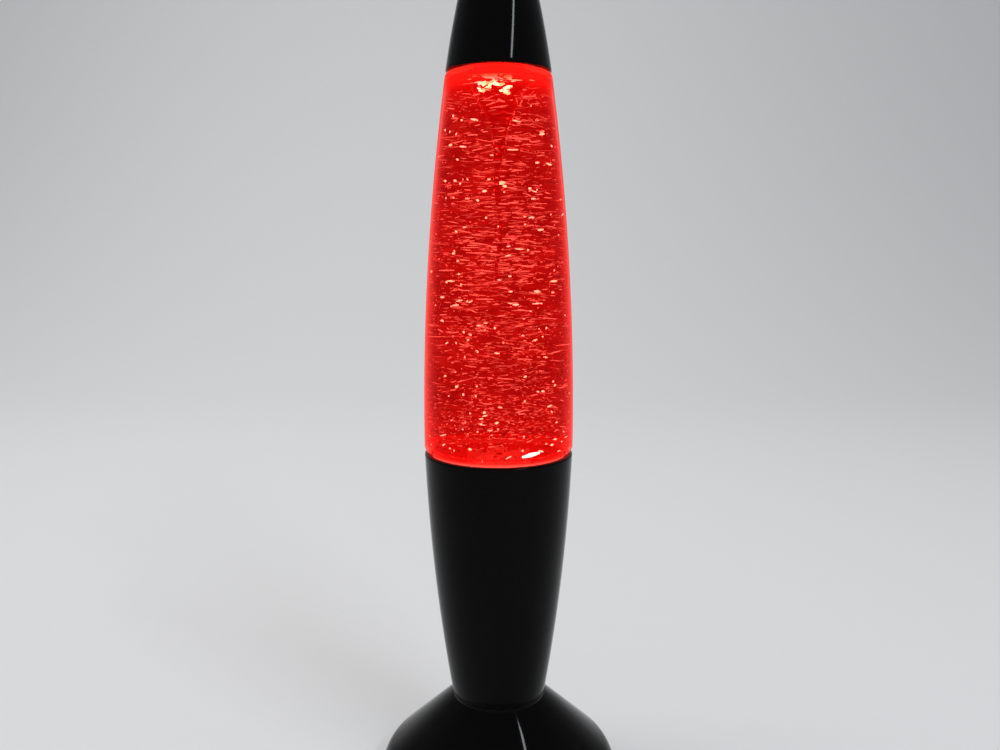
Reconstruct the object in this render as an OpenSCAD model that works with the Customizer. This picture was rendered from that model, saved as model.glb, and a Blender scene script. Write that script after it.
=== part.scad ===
// Tornado lamp: a lift-out bottle of glitter liquid between a black foot and a black cap.
// A motor in the column turns a pair of magnets, and these turn the stirrer in the bottle.
// Millimetres, +Z up, origin on the table under the lamp's axis, rear panel towards +Y.

/* [Foot] */
// Diameter of the foot at its widest
foot_d = 103.5; // [100:0.5:125]
// Height of the waist, where the column stands on the foot
foot_h = 41.9; // [41:0.1:55]
// Height of the foot's widest level
foot_edge_h = 5.5; // [5:0.5:8]
// Radius of the roll at the foot's edge
foot_round = 14; // [11:1:18]
// Wall of the foot
foot_wall = 2.2; // [1.6:0.1:2.8]
// Plate that closes the foot at the waist
foot_top_t = 2.5; // [2:0.25:4]
// Short upright collar under the waist
waist_step = 1; // [0.5:0.25:2]
// Distance from the waist's edge in to its screws
waist_screw_inset = 7.5; // [7:0.25:9]

/* [Column] */
// Diameter of the waist
waist_d = 40.3; // [36:0.1:46]
// Diameter of the rim that takes the bottle
rim_d = 62.4; // [58:0.2:68]
// Height of the column from waist to rim
column_h = 107.1; // [96:0.1:130]
// Outward bow of the column's side at half height
column_bow = 1.7; // [0.5:0.1:2.5]
// Wall of the column
column_wall = 2; // [1.6:0.1:2.6]
// Floor of the column at the waist
column_floor_t = 2.5; // [2:0.25:4]
// Hole at the waist for the leads
lead_hole_d = 9; // [8:0.5:12]
// Rounding of the rim's outer edge
rim_round = 0.8; // [0.4:0.1:1.2]

/* [Bottle] */
// Height of the bottle from the rim to its top shoulder
bottle_h = 154.2; // [130:0.1:180]
// How far the bottle stands out past the rim
bottle_overhang = 0.1; // [0.1:0.1:1.5]
// Diameter of the bottle at its top shoulder
bottle_top_d = 43.2; // [40:0.1:50]
// Outward bow of the bottle's side at half height
bottle_bow = 2.7; // [1:0.05:4]
// Wall of the bottle
bottle_wall = 2.2; // [1.6:0.1:2.8]
// Floor of the bottle
bottle_floor_t = 2.2; // [1.8:0.1:3]
// Rounding of the top shoulder
top_shoulder_r = 2.2; // [1.2:0.1:2.6]
// Depth of the spigot in the rim
spigot_depth = 13; // [11:0.5:16]
// Length of the neck above the shoulder
neck_h = 17; // [14:0.5:20]
// Wall of the neck
neck_wall = 2; // [1.5:0.1:3]
// Bare neck between the shoulder and the closure
neck_bare_h = 2; // [1:0.5:4]

/* [Liquid and glitter] */
// Air between the liquid and the top shoulder
air_h = 3; // [2.6:0.1:14]
// Diameter of the whirl at the surface
funnel_d = 26; // [14:1:32]
// Depth of the whirl
funnel_depth = 80; // [40:1:110]
// Diameter of the whirl at its tip
funnel_tip_d = 1.6; // [1:0.1:4]
// How sharply the whirl narrows
funnel_power = 5.5; // [1.6:0.1:8]
// Number of glitter flakes
flake_count = 140; // [60:1:200]
// Length of the shortest flake
flake_l_min = 1.6; // [1:0.1:3]
// Length of the longest flake
flake_l_max = 5; // [3:0.1:6]
// Width of a flake
flake_w = 0.8; // [0.5:0.1:1.2]
// Thickness of a flake
flake_t = 0.25; // [0.2:0.05:0.4]
// Clear liquid between the flakes and the bottle
flake_clear = 1.2; // [1:0.1:2]
// Greatest lean of a flake, in degrees
flake_lean = 12; // [0:1:20]

/* [Cap] */
// Height of the cap
cap_h = 56.5; // [50:0.5:70]
// How far the cap stands back from the bottle's shoulder
cap_setback = 0.35; // [0.3:0.05:1.6]
// Diameter of the cap's flat top
cap_top_d = 17; // [12:0.5:24]
// Outward bow of the cap's side at half height
cap_bow = 1.1; // [0.4:0.1:2]
// Wall of the cap
cap_wall = 1.8; // [1.4:0.1:2.4]
// Thickness of the ribs in the cap
cap_rib_t = 1.4; // [1:0.1:2]
// Height of the ribs in the cap
cap_rib_h = 16; // [10:1:20]
// How far the ribs reach in over the closure
cap_rib_reach = 4; // [3:0.5:6]
// Rounding of the cap's top edge
cap_round = 1.6; // [0.8:0.1:2.4]

/* [Closure] */
// Room between the closure and the cap
closure_room = 1.6; // [1:0.1:2.5]
// Wall of the closure's skirt
closure_wall = 2; // [1.4:0.1:2.4]
// Top of the closure
closure_top_t = 1.6; // [1.2:0.1:2.4]
// Number of grip ribs
closure_grips = 30; // [18:1:36]
// Radius of a grip rib
grip_r = 0.6; // [0.4:0.1:0.8]
// Smooth edge over the grip ribs
grip_edge = 1; // [0.5:0.1:2]
// Thickness of the sealing disc
seal_t = 1; // [0.6:0.1:1.6]

/* [Stirrer] */
// Diameter over the blades
stirrer_d = 30; // [26:1:38]
// Number of blades
stirrer_blades = 4; // [3:1:6]
// Plate that holds the magnets
stirrer_plate_t = 4.2; // [4:0.1:5.5]
// Height of the blades above the plate
blade_h = 5; // [3:0.5:7]
// Thickness of a blade
blade_t = 2; // [1.4:0.1:3]
// Room for the liquid round the stirrer
chamber_room = 2; // [1.5:0.5:4]
// Diameter of the hub
stirrer_hub_d = 7; // [6:0.5:7.5]
// Diameter of the pivot pin
pin_d = 2.5; // [2:0.1:3]
// Boss that the pin is pressed into
pin_boss_d = 7; // [6:0.5:9]
// Height of the boss
pin_boss_h = 1; // [0.6:0.1:2]
// Diameter of the retaining cap on the pin
pin_cap_d = 6.4; // [5:0.2:8]
// Height of the retaining cap
pin_cap_h = 2.4; // [1.8:0.2:4]

/* [Magnets] */
// Diameter of a disc magnet
magnet_d = 8; // [6:0.5:8.5]
// Thickness of a disc magnet
magnet_t = 3; // [2:0.5:3]
// Radius at which the magnets turn
magnet_orbit = 8.2; // [7.8:0.1:9]
// Plastic left round a magnet
magnet_edge = 1; // [0.8:0.1:2]

/* [Motor] */
// Diameter of the motor
motor_d = 24.4; // [20:0.2:27]
// Height of the motor
motor_h = 12.4; // [10:0.2:20]
// Sheet of the motor's can
motor_sheet = 0.8; // [0.5:0.1:1.2]
// Diameter of the motor's shaft
shaft_d = 2; // [1.5:0.1:2.6]
// Plastic over the shaft's end
shaft_cover_t = 1; // [0.6:0.1:1.5]
// Diameter of the bearing boss on the can
motor_boss_d = 6; // [5:0.2:8]
// Height of the bearing boss
motor_boss_h = 1.2; // [0.8:0.1:1.6]
// Radius of the motor's two fixing holes
motor_hole_orbit = 7; // [6.4:0.1:8]
// Plastic end of the motor
motor_end_t = 1.6; // [1.2:0.1:2.4]
// Thickness of the ring magnet in the can
stator_t = 2.2; // [1.5:0.1:3]
// Space over the ring magnet
stator_room = 2.4; // [1.5:0.1:3]
// Distance from the motor's axis to a terminal
terminal_x = 4.5; // [3.5:0.1:6]
// Length of a terminal
terminal_l = 2; // [1.5:0.1:3]
// Width of a terminal
terminal_w = 2; // [1.5:0.1:3]

/* [Drive plate and light] */
// Thickness of the plate that carries the motor
bracket_t = 2; // [1.6:0.1:3]
// Height of the reflector between plate and window
reflector_h = 10.5; // [10:0.5:14]
// Wall of the reflector
reflector_wall = 1.6; // [1.2:0.1:2.4]
// Thickness of the light window
window_t = 1.6; // [1.2:0.1:2.4]
// Thickness of the soft seat ring
seat_t = 1.5; // [1:0.1:2.5]
// Width of the soft seat ring
seat_w = 4.5; // [3:0.5:6]
// Thickness of the disc that carries the drive magnets
carrier_t = 5; // [4.5:0.1:5.5]
// Diameter of the carrier's hub
carrier_hub_d = 6.4; // [5:0.2:8]
// Height of the posts under the lamp board
board_post_h = 2; // [1.8:0.1:2.4]
// Thickness of the circuit boards
board_t = 1.2; // [0.8:0.1:1.6]
// Number of light emitting diodes
led_count = 6; // [3:3:6]
// Side of a diode's square body
led_w = 5; // [3:0.5:5]
// Height of a diode's body
led_h = 1.6; // [1:0.1:2]
// Height of the lens on a diode
led_lens_h = 0.5; // [0.3:0.1:0.8]

/* [Battery bay] */
// Diameter of a cell
cell_d = 14.5; // [10.5:0.1:14.5]
// Length of a cell over its button
cell_l = 50.5; // [44.5:0.1:50.5]
// Length of a cell's button
cell_button_h = 1; // [0.8:0.1:1.4]
// Diameter of a cell's button
cell_button_d = 5.5; // [3.8:0.1:5.5]
// Number of cells side by side
cell_count = 3; // [2:1:3]
// Length left for a contact spring
spring_l = 6.6; // [5:0.2:7]
// Diameter of a contact spring at its foot
spring_d = 8.7; // [7:0.1:9]
// Wire of a contact spring
spring_wire_d = 0.7; // [0.5:0.05:0.9]
// Turns of a contact spring
spring_turns = 4; // [3:1:4]
// Thickness of a contact plate
contact_t = 0.4; // [0.3:0.1:0.6]
// Width of a contact plate
contact_w = 10.4; // [8:0.1:10.4]
// Wall round the bay
bay_wall = 1.5; // [1.2:0.1:2]
// Thickness of the bottom cover
cover_t = 2.4; // [2:0.1:3]
// Gap round the battery door
door_gap = 0.4; // [0.3:0.05:0.6]
// Width of the door's two hinge tabs
tab_w = 3.4; // [2.5:0.1:4]
// Thickness of a hinge tab
tab_t = 1.2; // [1:0.1:1.5]
// Width of the door's finger lip
lip_w = 10; // [8:0.5:14]
// How far the finger lip stands out under the cover
lip_reach = 0.8; // [0.5:0.1:0.9]
// Room for a fingernail behind the lip
finger_room = 3; // [2:0.5:5]

/* [Rear panel] */
// How far the panel's face lies in from the foot's edge
panel_recess = 6; // [5.8:0.1:7]
// Width of the panel's face
panel_w = 26; // [25:0.5:28]
// Frame round the panel's face
panel_frame = 1; // [0.8:0.1:1.4]
// Thickness of the panel
panel_t = 1.8; // [1.4:0.1:2.4]
// Diameter of the power button
button_d = 6; // [5:0.1:6.4]
// Width of the collar that keeps the button in
button_collar = 0.7; // [0.5:0.1:0.8]
// Thickness of the collar that keeps the button in
button_collar_t = 1; // [0.8:0.1:1.2]
// How far the power button stands out of the panel
button_proud = 2.5; // [2:0.1:4]
// Travel of the power button
button_travel = 1.5; // [0.8:0.1:1.8]
// Diameter of the button's stem
stem_d = 2.4; // [2:0.1:3]
// Length of the stem in the switch
stem_l = 2; // [1.5:0.1:2.5]
// Distance from the lamp's middle to the button and to the socket
control_offset = 7; // [6.5:0.1:8]
// Width of the power socket
socket_w = 8.9; // [7:0.1:9.5]
// Height of the power socket
socket_h = 3.2; // [2.8:0.1:3.6]
// Length of the power socket
socket_l = 7.4; // [6.6:0.1:8]
// Sheet of the power socket
socket_wall = 0.3; // [0.2:0.05:0.4]
// Back of the power socket
socket_back_t = 0.8; // [0.6:0.1:1.2]
// Space at each side of the socket's tongue
tongue_room = 1.1; // [0.8:0.1:1.4]
// Thickness of the socket's tongue
tongue_t = 0.7; // [0.5:0.1:0.9]
// How far the tongue ends short of the socket's mouth
tongue_setback = 1; // [0.5:0.1:2]
// Width of the switch
switch_w = 7; // [6:0.1:7.4]
// Height of the switch on its board
switch_h = 6.2; // [6:0.1:8]
// Height of the posts under the control board
control_post_h = 0.8; // [0.6:0.1:1]
// Diameter of the posts under the control board
control_post_d = 3.6; // [3:0.2:5]

/* [Fasteners and feet] */
// Diameter of the case screws
screw_d = 2.5; // [2:0.1:3]
// Length of the case screws
screw_l = 8; // [7:0.5:10]
// Plastic round a case screw
boss_wall = 1.9; // [1.5:0.1:2.2]
// Plastic past a case screw's tip
boss_end_t = 1; // [0.6:0.1:2]
// Diameter of the small screws
small_screw_d = 1.8; // [1.4:0.1:2]
// Plastic round a small screw
small_boss_wall = 1.1; // [0.8:0.1:1.5]
// Distance from the shell's inside to the cover's bosses
post_inset = 6; // [5:0.5:7]
// Diameter of a rubber foot
pad_d = 10; // [8:0.5:12]
// Thickness of a rubber foot
pad_t = 2.2; // [1.8:0.1:3]
// How far a rubber foot stands out
pad_proud = 1.5; // [1:0.1:1.6]
// Distance from the cover's edge to a rubber foot
pad_inset = 3; // [2:0.5:5]
// Diameter of the leads
lead_d = 1.4; // [1:0.1:1.6]

/* [Fits] */
// Gap between pieces that lift or slip past each other
slip = 0.3; // [0.2:0.05:0.4]
// Gap between a shaft or pin and its bore
running = 0.05; // [0.02:0.01:0.1]
// Gap left round a piece that is dropped into a cup
drop_in = 0.4; // [0.3:0.05:0.6]

/* [Hidden] */
$fn = 72;
overlap = 0.5;          // how far a cutting shape runs past a face
side_steps = 18;        // straight steps in a long bowed side
round_steps = 8;        // straight steps in a rounded edge

// Levels of the foot and the column
waist_z = foot_h;
rim_z = waist_z + column_h;
shell_z = pad_proud;
cover_top = shell_z + cover_t;
foot_r = foot_d / 2;
waist_r = waist_d / 2;
rim_r = rim_d / 2;
lead_hole_r = lead_hole_d / 2;

// Straight flank of the foot: the tangent from the waist's collar to the roll at the edge
roll = [foot_r - foot_round, foot_edge_h];
flank_top = [waist_r, waist_z - waist_step];
flank_run = roll - flank_top;
flank_a = atan2(flank_run[1], flank_run[0]) + asin(foot_round / norm(flank_run));
foot_inner_r = foot_r - foot_wall;
foot_roof_z = waist_z - foot_top_t;
function roll_point(r) = roll + r * [-sin(flank_a), cos(flank_a)];
roof_edge = roll_point(foot_round - foot_wall);
roof_r = roof_edge[0] + (foot_roof_z - roof_edge[1]) / tan(flank_a);

// Radius of a bowed side at share t of its height
function bowed(r0, r1, bow, t) = r0 + (r1 - r0) * t + 4 * bow * t * (1 - t);
function side(r0, z0, r1, z1, bow) = [
    for (i = [0 : side_steps])
        let (t = i / side_steps) [bowed(r0, r1, bow, t), z0 + (z1 - z0) * t]
];
function corner(c, r, a0, a1) = [
    for (i = [0 : round_steps])
        let (a = a0 + (a1 - a0) * i / round_steps) c + r * [cos(a), sin(a)]
];
function reversed(list) = [for (i = [len(list) - 1 : -1 : 0]) list[i]];
function column_r(z) = bowed(waist_r, rim_r, column_bow, (z - waist_z) / column_h);
function column_in_r(z) = column_r(z) - column_wall;

// Stack in the column's mouth, from the bottle's floor down to the motor
spigot_z = rim_z - spigot_depth;
seat_z = spigot_z - seat_t;
window_z = seat_z - window_t;
plate_top = window_z - reflector_h;
plate_z = plate_top - bracket_t;
motor_z = plate_z - motor_h;
plate_r = column_in_r(plate_z) - drop_in;
window_r = column_in_r(window_z) - drop_in;
spigot_r = column_in_r(spigot_z) - drop_in;
board_z = plate_top + board_post_h;
board_top = board_z + board_t;
board_r = plate_r - reflector_wall - drop_in;
carrier_r = magnet_orbit + magnet_d / 2 + magnet_edge;
carrier_top = window_z - 3 * slip;
shaft_top = carrier_top - shaft_cover_t;
carrier_z = carrier_top - carrier_t;
hub_z = plate_top + motor_boss_h;
board_hole_r = carrier_r + 2 * slip;
board_mid_r = (board_r + board_hole_r) / 2;

// Screws: a pan head over a plain shank, and the boss that takes it
head_share = 0.65;
head_r = screw_d;
head_h = head_share * screw_d;
small_head_r = small_screw_d;
small_head_h = head_share * small_screw_d;
boss_r = screw_d / 2 + boss_wall;
boss_h = screw_l + boss_end_t;
small_boss_r = small_screw_d / 2 + small_boss_wall;
waist_screw_r = waist_r - waist_screw_inset;
plate_screw_r = column_in_r(plate_z) - head_r - slip;
waist_screw_angles = [30, 150, 270];
plate_screw_angles = [90, 210, 330];
board_screw_angles = [30, 150, 270];
board_screw_l = board_t + board_post_h + bracket_t / 2 - slip;

// Bottle levels
top_z = rim_z + bottle_h;
bottle_low_r = rim_r + bottle_overhang;
bottle_top_r = bottle_top_d / 2;
low_shoulder_r = bottle_low_r - spigot_r;
low_z = rim_z + slip + low_shoulder_r;
high_z = top_z - top_shoulder_r;
low_round = [spigot_r, low_z];
low_inner_round = max(low_shoulder_r - bottle_wall, running);
floor_top = spigot_z + bottle_floor_t;
neck_top = top_z + neck_h;
function bottle_r(z) = bowed(bottle_low_r, bottle_top_r, bottle_bow, (z - low_z) / (high_z - low_z));
function bottle_in_r(z) = bottle_r(z) - bottle_wall;

// Cap and closure: the closure is as wide as the cap leaves room for at its top
cap_z = top_z + slip;
cap_r = bottle_top_r - cap_setback;
cap_top_r = cap_top_d / 2;
cap_top = cap_z + cap_h;
function cap_in_r(z) = bowed(cap_r, cap_top_r, cap_bow, (z - cap_z) / cap_h) - cap_wall;
closure_top = neck_top + seal_t + closure_top_t;
closure_r = cap_in_r(closure_top) - closure_room;
neck_r = closure_r - closure_wall - slip;
neck_bore_r = neck_r - neck_wall;
closure_z = top_z + neck_bare_h;

// Stirrer levels
stirrer_z = floor_top + pin_boss_h + slip;
stirrer_plate_top = stirrer_z + stirrer_plate_t;
stirrer_top = stirrer_plate_top + blade_h;
pin_cap_z = stirrer_top + slip;
pin_cap_top = pin_cap_z + pin_cap_h;
stirrer_plate_r = magnet_orbit + magnet_d / 2 + magnet_edge;
pin_z = floor_top - bottle_floor_t / 2;
pin_top = pin_cap_top - pin_cap_h / 4;

// Liquid: it stands clear of the bottle and leaves a chamber for the stirrer
level_z = top_z - air_h;
chamber_r = max(stirrer_d / 2, stirrer_plate_r) + chamber_room;
chamber_top = pin_cap_top + 2 * slip;
funnel_tip_z = level_z - funnel_depth;
function funnel_r(z) = funnel_tip_d / 2
    + (funnel_d - funnel_tip_d) / 2 * pow(max(0, z - funnel_tip_z) / funnel_depth, funnel_power);

// Battery bay and bottom cover
cell_r = cell_d / 2;
cell_pitch = cell_d + slip;
cell_button_r = cell_button_d / 2;
cell_top = cover_top + slip + cell_d;
bay_half_w = cell_count * cell_pitch / 2 + slip;
bay_half_l = (cell_l + spring_l) / 2 + contact_t;
cell_z = cover_top + slip + cell_r;
bay_top = cell_z + cell_r / 2;
contact_z = cell_z - cell_r / 4;
cover_r = foot_inner_r - slip;
post_x = bay_half_w + bay_wall + boss_r + 2 * slip;
post_y = sqrt(pow(foot_inner_r - boss_r - post_inset, 2) - pow(post_x, 2));
pad_orbit = cover_r - pad_d / 2 - pad_inset;
tab_x = bay_half_w - tab_w / 2 - 2 * door_gap;
tab_root = contact_t + cell_button_h - slip;

// Rear panel and the board behind it
panel_y = foot_r - panel_recess;
panel_in_y = panel_y - panel_t;
panel_z = cover_top + panel_frame + slip;
control_z = cover_top + control_post_h;
control_top = control_z + board_t;
button_collar_r = button_d / 2 + button_collar;
button_z = control_top + button_collar_r + slip;
panel_top = button_z + button_d / 2 + panel_frame / 2;
control_y = bay_half_l + bay_wall + 3 * slip;
control_w = panel_w + 2 * panel_frame;
socket_z = control_top + socket_h / 2;
stem_r = stem_d / 2;
switch_front = panel_in_y - button_collar_t - button_travel - 2 * slip;

// Leads: hand-laid routes from the board in the foot to the motor, the lamp board and the cells
lead_sides = 8;
lead_steps = 3;
lead_r = lead_d / 2;
lane = lead_d + 2 * slip;
pad_x = (switch_w - socket_w) / 4;
fan_x = pad_x + lane / 2;
lead_pad = [pad_x, control_y + lane, control_top + slip];
next_row = [0, 1.25 * lane, 0];
battery_pad_x = control_w / 2 - lead_r - slip / 2;
lead_top = [0, 0, motor_z - terminal_l - slip];
lamp_end = [-board_mid_r, 0, board_z - slip];
cell_end = [cell_pitch, bay_half_l - contact_t, bay_top + lead_r + slip];
side_x = bay_half_w + bay_wall / 2;
bay_end = bay_half_l + bay_wall;
under_motor = motor_z - 12;
mid_z = waist_z + column_h / 4;
over_waist = waist_z + 5;
under_roof = foot_roof_z - 4.5;
over_cells = cell_top + 7.3;
over_bay = bay_top + lead_d;
red_routes = [
    [lead_top + [terminal_x, 0, 0], [4, 0, under_motor], [2.4, -1, mid_z], [2, -1.5, over_waist],
     [2, -1.5, under_roof], [4, 8, over_cells + 5], [6, 22, over_cells],
     [fan_x + 1.5 * lane, bay_end + lane, bay_top], lead_pad + [lane / 2, 0, 0] + next_row],
    [lamp_end + [0, lane / 2, 0], lamp_end + [0, lane / 2, motor_z - plate_z], [-13, 2, under_motor - 4],
     [-4, 2, mid_z], [-2, 2, over_waist], [-2, 2, under_roof], [1.5, 10, over_cells + 6],
     [2.4, 22, over_cells], [fan_x + lane / 2, bay_end + lane, bay_top], lead_pad + [lane / 2, 0, 0]],
    [cell_end - [2 * cell_pitch, 0, 0], [1 - cell_pitch, bay_end, over_bay],
     [2 - cell_pitch, bay_end + lane, bay_top], [-battery_pad_x, lead_pad[1], lead_pad[2]]],
];
black_routes = [
    [lead_top - [terminal_x, 0, 0], [-4, -1, under_motor], [0, -3, mid_z], [0, -3, over_waist],
     [0, -3, under_roof], [-1.2, 7, over_cells + 4], [0, 22, over_cells - 1],
     [fan_x - lane / 2, bay_end + lane, bay_top], lead_pad - [lane / 2, 0, 0]],
    [lamp_end - [0, lane / 2, 0], lamp_end + [0, -lane / 2, motor_z - plate_z], [-14, -1, under_motor - 4],
     [-6, 0, mid_z], [-2.6, -0.4, over_waist], [-2.6, -0.4, under_roof], [-3, 9, over_cells + 4],
     [-3, 22, over_cells - 1], [fan_x - 1.5 * lane, bay_end + lane, bay_top],
     lead_pad - [lane / 2, 0, 0] + next_row],
    [[cell_end[0], -cell_end[1], cell_end[2]], [side_x - 4, -bay_half_l, over_bay],
     [side_x, -20, over_bay], [side_x, 0, over_bay], [side_x, 20, over_bay],
     [side_x - 4, bay_end, over_bay], [cell_pitch - 2, bay_end + lane, bay_top],
     [battery_pad_x, lead_pad[1], lead_pad[2]]],
];

// Turned piece from an outline of [radius, height] points
module turned(outline) {
    rotate_extrude()
        polygon(outline);
}

module tube(r_out, r_in, h) {
    difference() {
        cylinder(r = r_out, h = h);
        translate([0, 0, -overlap])
            cylinder(r = r_in, h = h + 2 * overlap);
    }
}

// Box given by its two opposite corners
module block(low, high) {
    translate(low)
        cube(high - low);
}

module around(angles, r) {
    for (a = angles)
        rotate([0, 0, a])
            translate([r, 0, 0])
                children();
}

// Pan-head screw, tip up, with the underside of its head at the origin
module screw(d, l, r_head, h_head) {
    slot = 0.25 * d;
    difference() {
        union() {
            cylinder(d = d, h = l);
            translate([0, 0, -h_head])
                cylinder(r = r_head, h = h_head);
        }
        for (a = [0, 90])
            rotate([0, 0, a])
                translate([-0.6 * r_head, -slot / 2, -h_head - overlap])
                    cube([1.2 * r_head, slot, overlap + h_head / 2]);
    }
}

// Swept tube along a smooth curve through the points of a route
function spline(p, i, t) =
    let (a = p[max(i - 1, 0)], b = p[i], c = p[i + 1], d = p[min(i + 2, len(p) - 1)])
    b + t * (c - a) / 2 + t * t * (2 * a - 5 * b + 4 * c - d) / 2
    + t * t * t * (3 * b - a - 3 * c + d) / 2;
function smooth(p) = concat(
    [for (i = [0 : len(p) - 2]) for (k = [0 : lead_steps - 1]) spline(p, i, k / lead_steps)],
    [p[len(p) - 1]]
);
function unit(v) = v / norm(v);

module swept(path, r, sides) {
    n = len(path);
    lean = [1, 0.001, 0.001];
    points = [
        for (i = [0 : n - 1])
            let (
                along = unit(path[min(i + 1, n - 1)] - path[max(i - 1, 0)]),
                across = unit(cross(along, lean)),
                up = cross(across, along)
            )
            for (k = [0 : sides - 1])
                path[i] + r * (cos(360 * k / sides) * across + sin(360 * k / sides) * up)
    ];
    walls = [
        for (i = [0 : n - 2])
            for (k = [0 : sides - 1])
                let (a = i * sides + k, b = i * sides + (k + 1) % sides)
                for (face = [[a, b, b + sides], [a, b + sides, a + sides]]) face
    ];
    ends = [
        for (k = [1 : sides - 2])
            for (face = [[0, k + 1, k], [(n - 1) * sides, (n - 1) * sides + k, (n - 1) * sides + k + 1]])
                face
    ];
    polyhedron(points = points, faces = concat(walls, ends));
}

// Outline of the foot without its hollow
function foot_outline() = concat(
    [[waist_r, waist_z], flank_top],
    corner(roll, foot_round, 90 + flank_a, 0),
    [[foot_r, shell_z]]
);

module foot_core() {
    turned(concat([[0, waist_z]], foot_outline(), [[0, shell_z]]));
}

module panel_block(grow, y_from) {
    half_w = panel_w / 2 + panel_frame + grow;
    block([-half_w, y_from, panel_z - panel_frame - grow],
          [half_w, foot_r + overlap, panel_top + panel_frame + grow]);
}

module cover_screw_places() {
    for (x = [-post_x, post_x])
        for (y = [-post_y, post_y])
            translate([x, y, 0])
                children();
}

module base_foot() {
    color("#141416")
    difference() {
        union() {
            turned(concat(
                foot_outline(),
                [[foot_inner_r, shell_z]],
                corner(roll, foot_round - foot_wall, 0, 90 + flank_a),
                [[roof_r, foot_roof_z], [lead_hole_r, foot_roof_z], [lead_hole_r, waist_z]]
            ));
            intersection() {
                foot_core();
                cover_screw_places()
                    translate([0, 0, cover_top])
                        cylinder(r = boss_r, h = foot_h);
            }
        }
        cover_screw_places()
            translate([0, 0, cover_top - overlap])
                cylinder(d = screw_d + 2 * running, h = screw_l + overlap);
        around(waist_screw_angles, waist_screw_r)
            translate([0, 0, foot_roof_z - overlap])
                cylinder(d = screw_d + 2 * slip, h = foot_top_t + 2 * overlap);
        panel_block(slip, panel_in_y - foot_round);
    }
}

module bottom_cover() {
    control_post_r = control_post_d / 2;
    control_post_x = control_w / 2 - control_post_r;
    color("#1b1b1d")
    difference() {
        union() {
            translate([0, 0, shell_z])
                cylinder(r = cover_r, h = cover_t);
            block([-bay_half_w - bay_wall, -bay_half_l - bay_wall, cover_top - overlap],
                  [bay_half_w + bay_wall, bay_half_l + bay_wall, bay_top]);
            for (x = [-control_post_x, control_post_x])
                translate([x, control_y + control_post_r, cover_top - overlap])
                    cylinder(r = control_post_r, h = control_post_h + overlap);
        }
        block([-bay_half_w, -bay_half_l, shell_z - overlap], [bay_half_w, bay_half_l, bay_top + overlap]);
        for (x = [-tab_x, tab_x])
            block([x - tab_w / 2 - slip, -bay_half_l - bay_wall - overlap, cover_top],
                  [x + tab_w / 2 + slip, -bay_half_l + overlap, cover_top + 3 * tab_t]);
        block([-lip_w / 2 - slip, bay_half_l - overlap, shell_z - overlap],
              [lip_w / 2 + slip, bay_half_l + lip_reach + finger_room, shell_z + cover_t / 2 + slip]);
        cover_screw_places() {
            translate([0, 0, shell_z - overlap])
                cylinder(d = screw_d + 2 * slip, h = cover_t + 2 * overlap);
            translate([0, 0, shell_z - overlap])
                cylinder(r = head_r + slip, h = head_h + overlap - slip);
        }
        around([0 : 90 : 270], pad_orbit)
            translate([0, 0, shell_z - overlap])
                cylinder(d = pad_d + 2 * running, h = pad_t - pad_proud + overlap);
    }
}

module cover_screws() {
    color("#8a8d90")
    cover_screw_places()
        translate([0, 0, shell_z + head_h - slip])
            screw(screw_d, screw_l, head_r, head_h - slip);
}

module rubber_feet() {
    color("#2b2b2b")
    around([0 : 90 : 270], pad_orbit)
        cylinder(d = pad_d, h = pad_t);
}

module battery_door() {
    end_y = bay_half_l - door_gap;
    tab_top = cover_top + slip + tab_t;
    color("#1b1b1d") {
        block([-bay_half_w + door_gap, -end_y, shell_z], [bay_half_w - door_gap, end_y, cover_top]);
        for (x = [-tab_x, tab_x])
            translate([x, 0, 0]) {
                block([-tab_w / 2, -end_y, cover_top - overlap],
                      [tab_w / 2, -bay_half_l + tab_root, tab_top]);
                block([-tab_w / 2, -bay_half_l - bay_wall, cover_top + slip],
                      [tab_w / 2, -bay_half_l + tab_root, tab_top]);
            }
        block([-lip_w / 2, end_y - overlap, shell_z],
              [lip_w / 2, bay_half_l + lip_reach, shell_z + cover_t / 2]);
    }
}

// Cells lie in series, so every second one points the other way
module cell_places() {
    for (i = [0 : cell_count - 1])
        translate([(i - (cell_count - 1) / 2) * cell_pitch, 0, cell_z])
            rotate([0, 0, 180 * (i % 2)])
                rotate([-90, 0, 0])
                    children();
}

module cells() {
    color("#3f5f6f")
    cell_places()
        translate([0, 0, bay_half_l - contact_t - cell_l]) {
            cylinder(r = cell_r, h = cell_l - cell_button_h);
            translate([0, 0, cell_l - cell_button_h - overlap])
                cylinder(r = cell_button_r, h = cell_button_h + overlap);
        }
}

// Conical contact spring: a rising coil whose radius shrinks towards the cell
spring_foot_r = spring_d / 2;
spring_tip_r = cell_button_r;
spring_rings = 12;
spring_rise = spring_l - spring_wire_d - slip;
spring_path = [
    for (i = [0 : spring_turns * spring_rings])
        let (t = i / (spring_turns * spring_rings), r = spring_foot_r + (spring_tip_r - spring_foot_r) * t)
        [r * cos(360 * spring_turns * t), r * sin(360 * spring_turns * t), spring_rise * t]
];
spring_gap = min([
    for (i = [0 : len(spring_path) - 1 - spring_rings / 2])
        for (k = [i + spring_rings / 2 : min(i + 2 * spring_rings, len(spring_path) - 1)])
            norm(spring_path[k] - spring_path[i])
]) - spring_wire_d;
echo(least_gap_between_spring_turns = spring_gap);

module battery_springs() {
    color("#b9bcc0")
    cell_places()
        translate([0, 0, -bay_half_l + contact_t + spring_wire_d / 2 + slip / 2])
            swept(spring_path, spring_wire_d / 2, 6);
}

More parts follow.
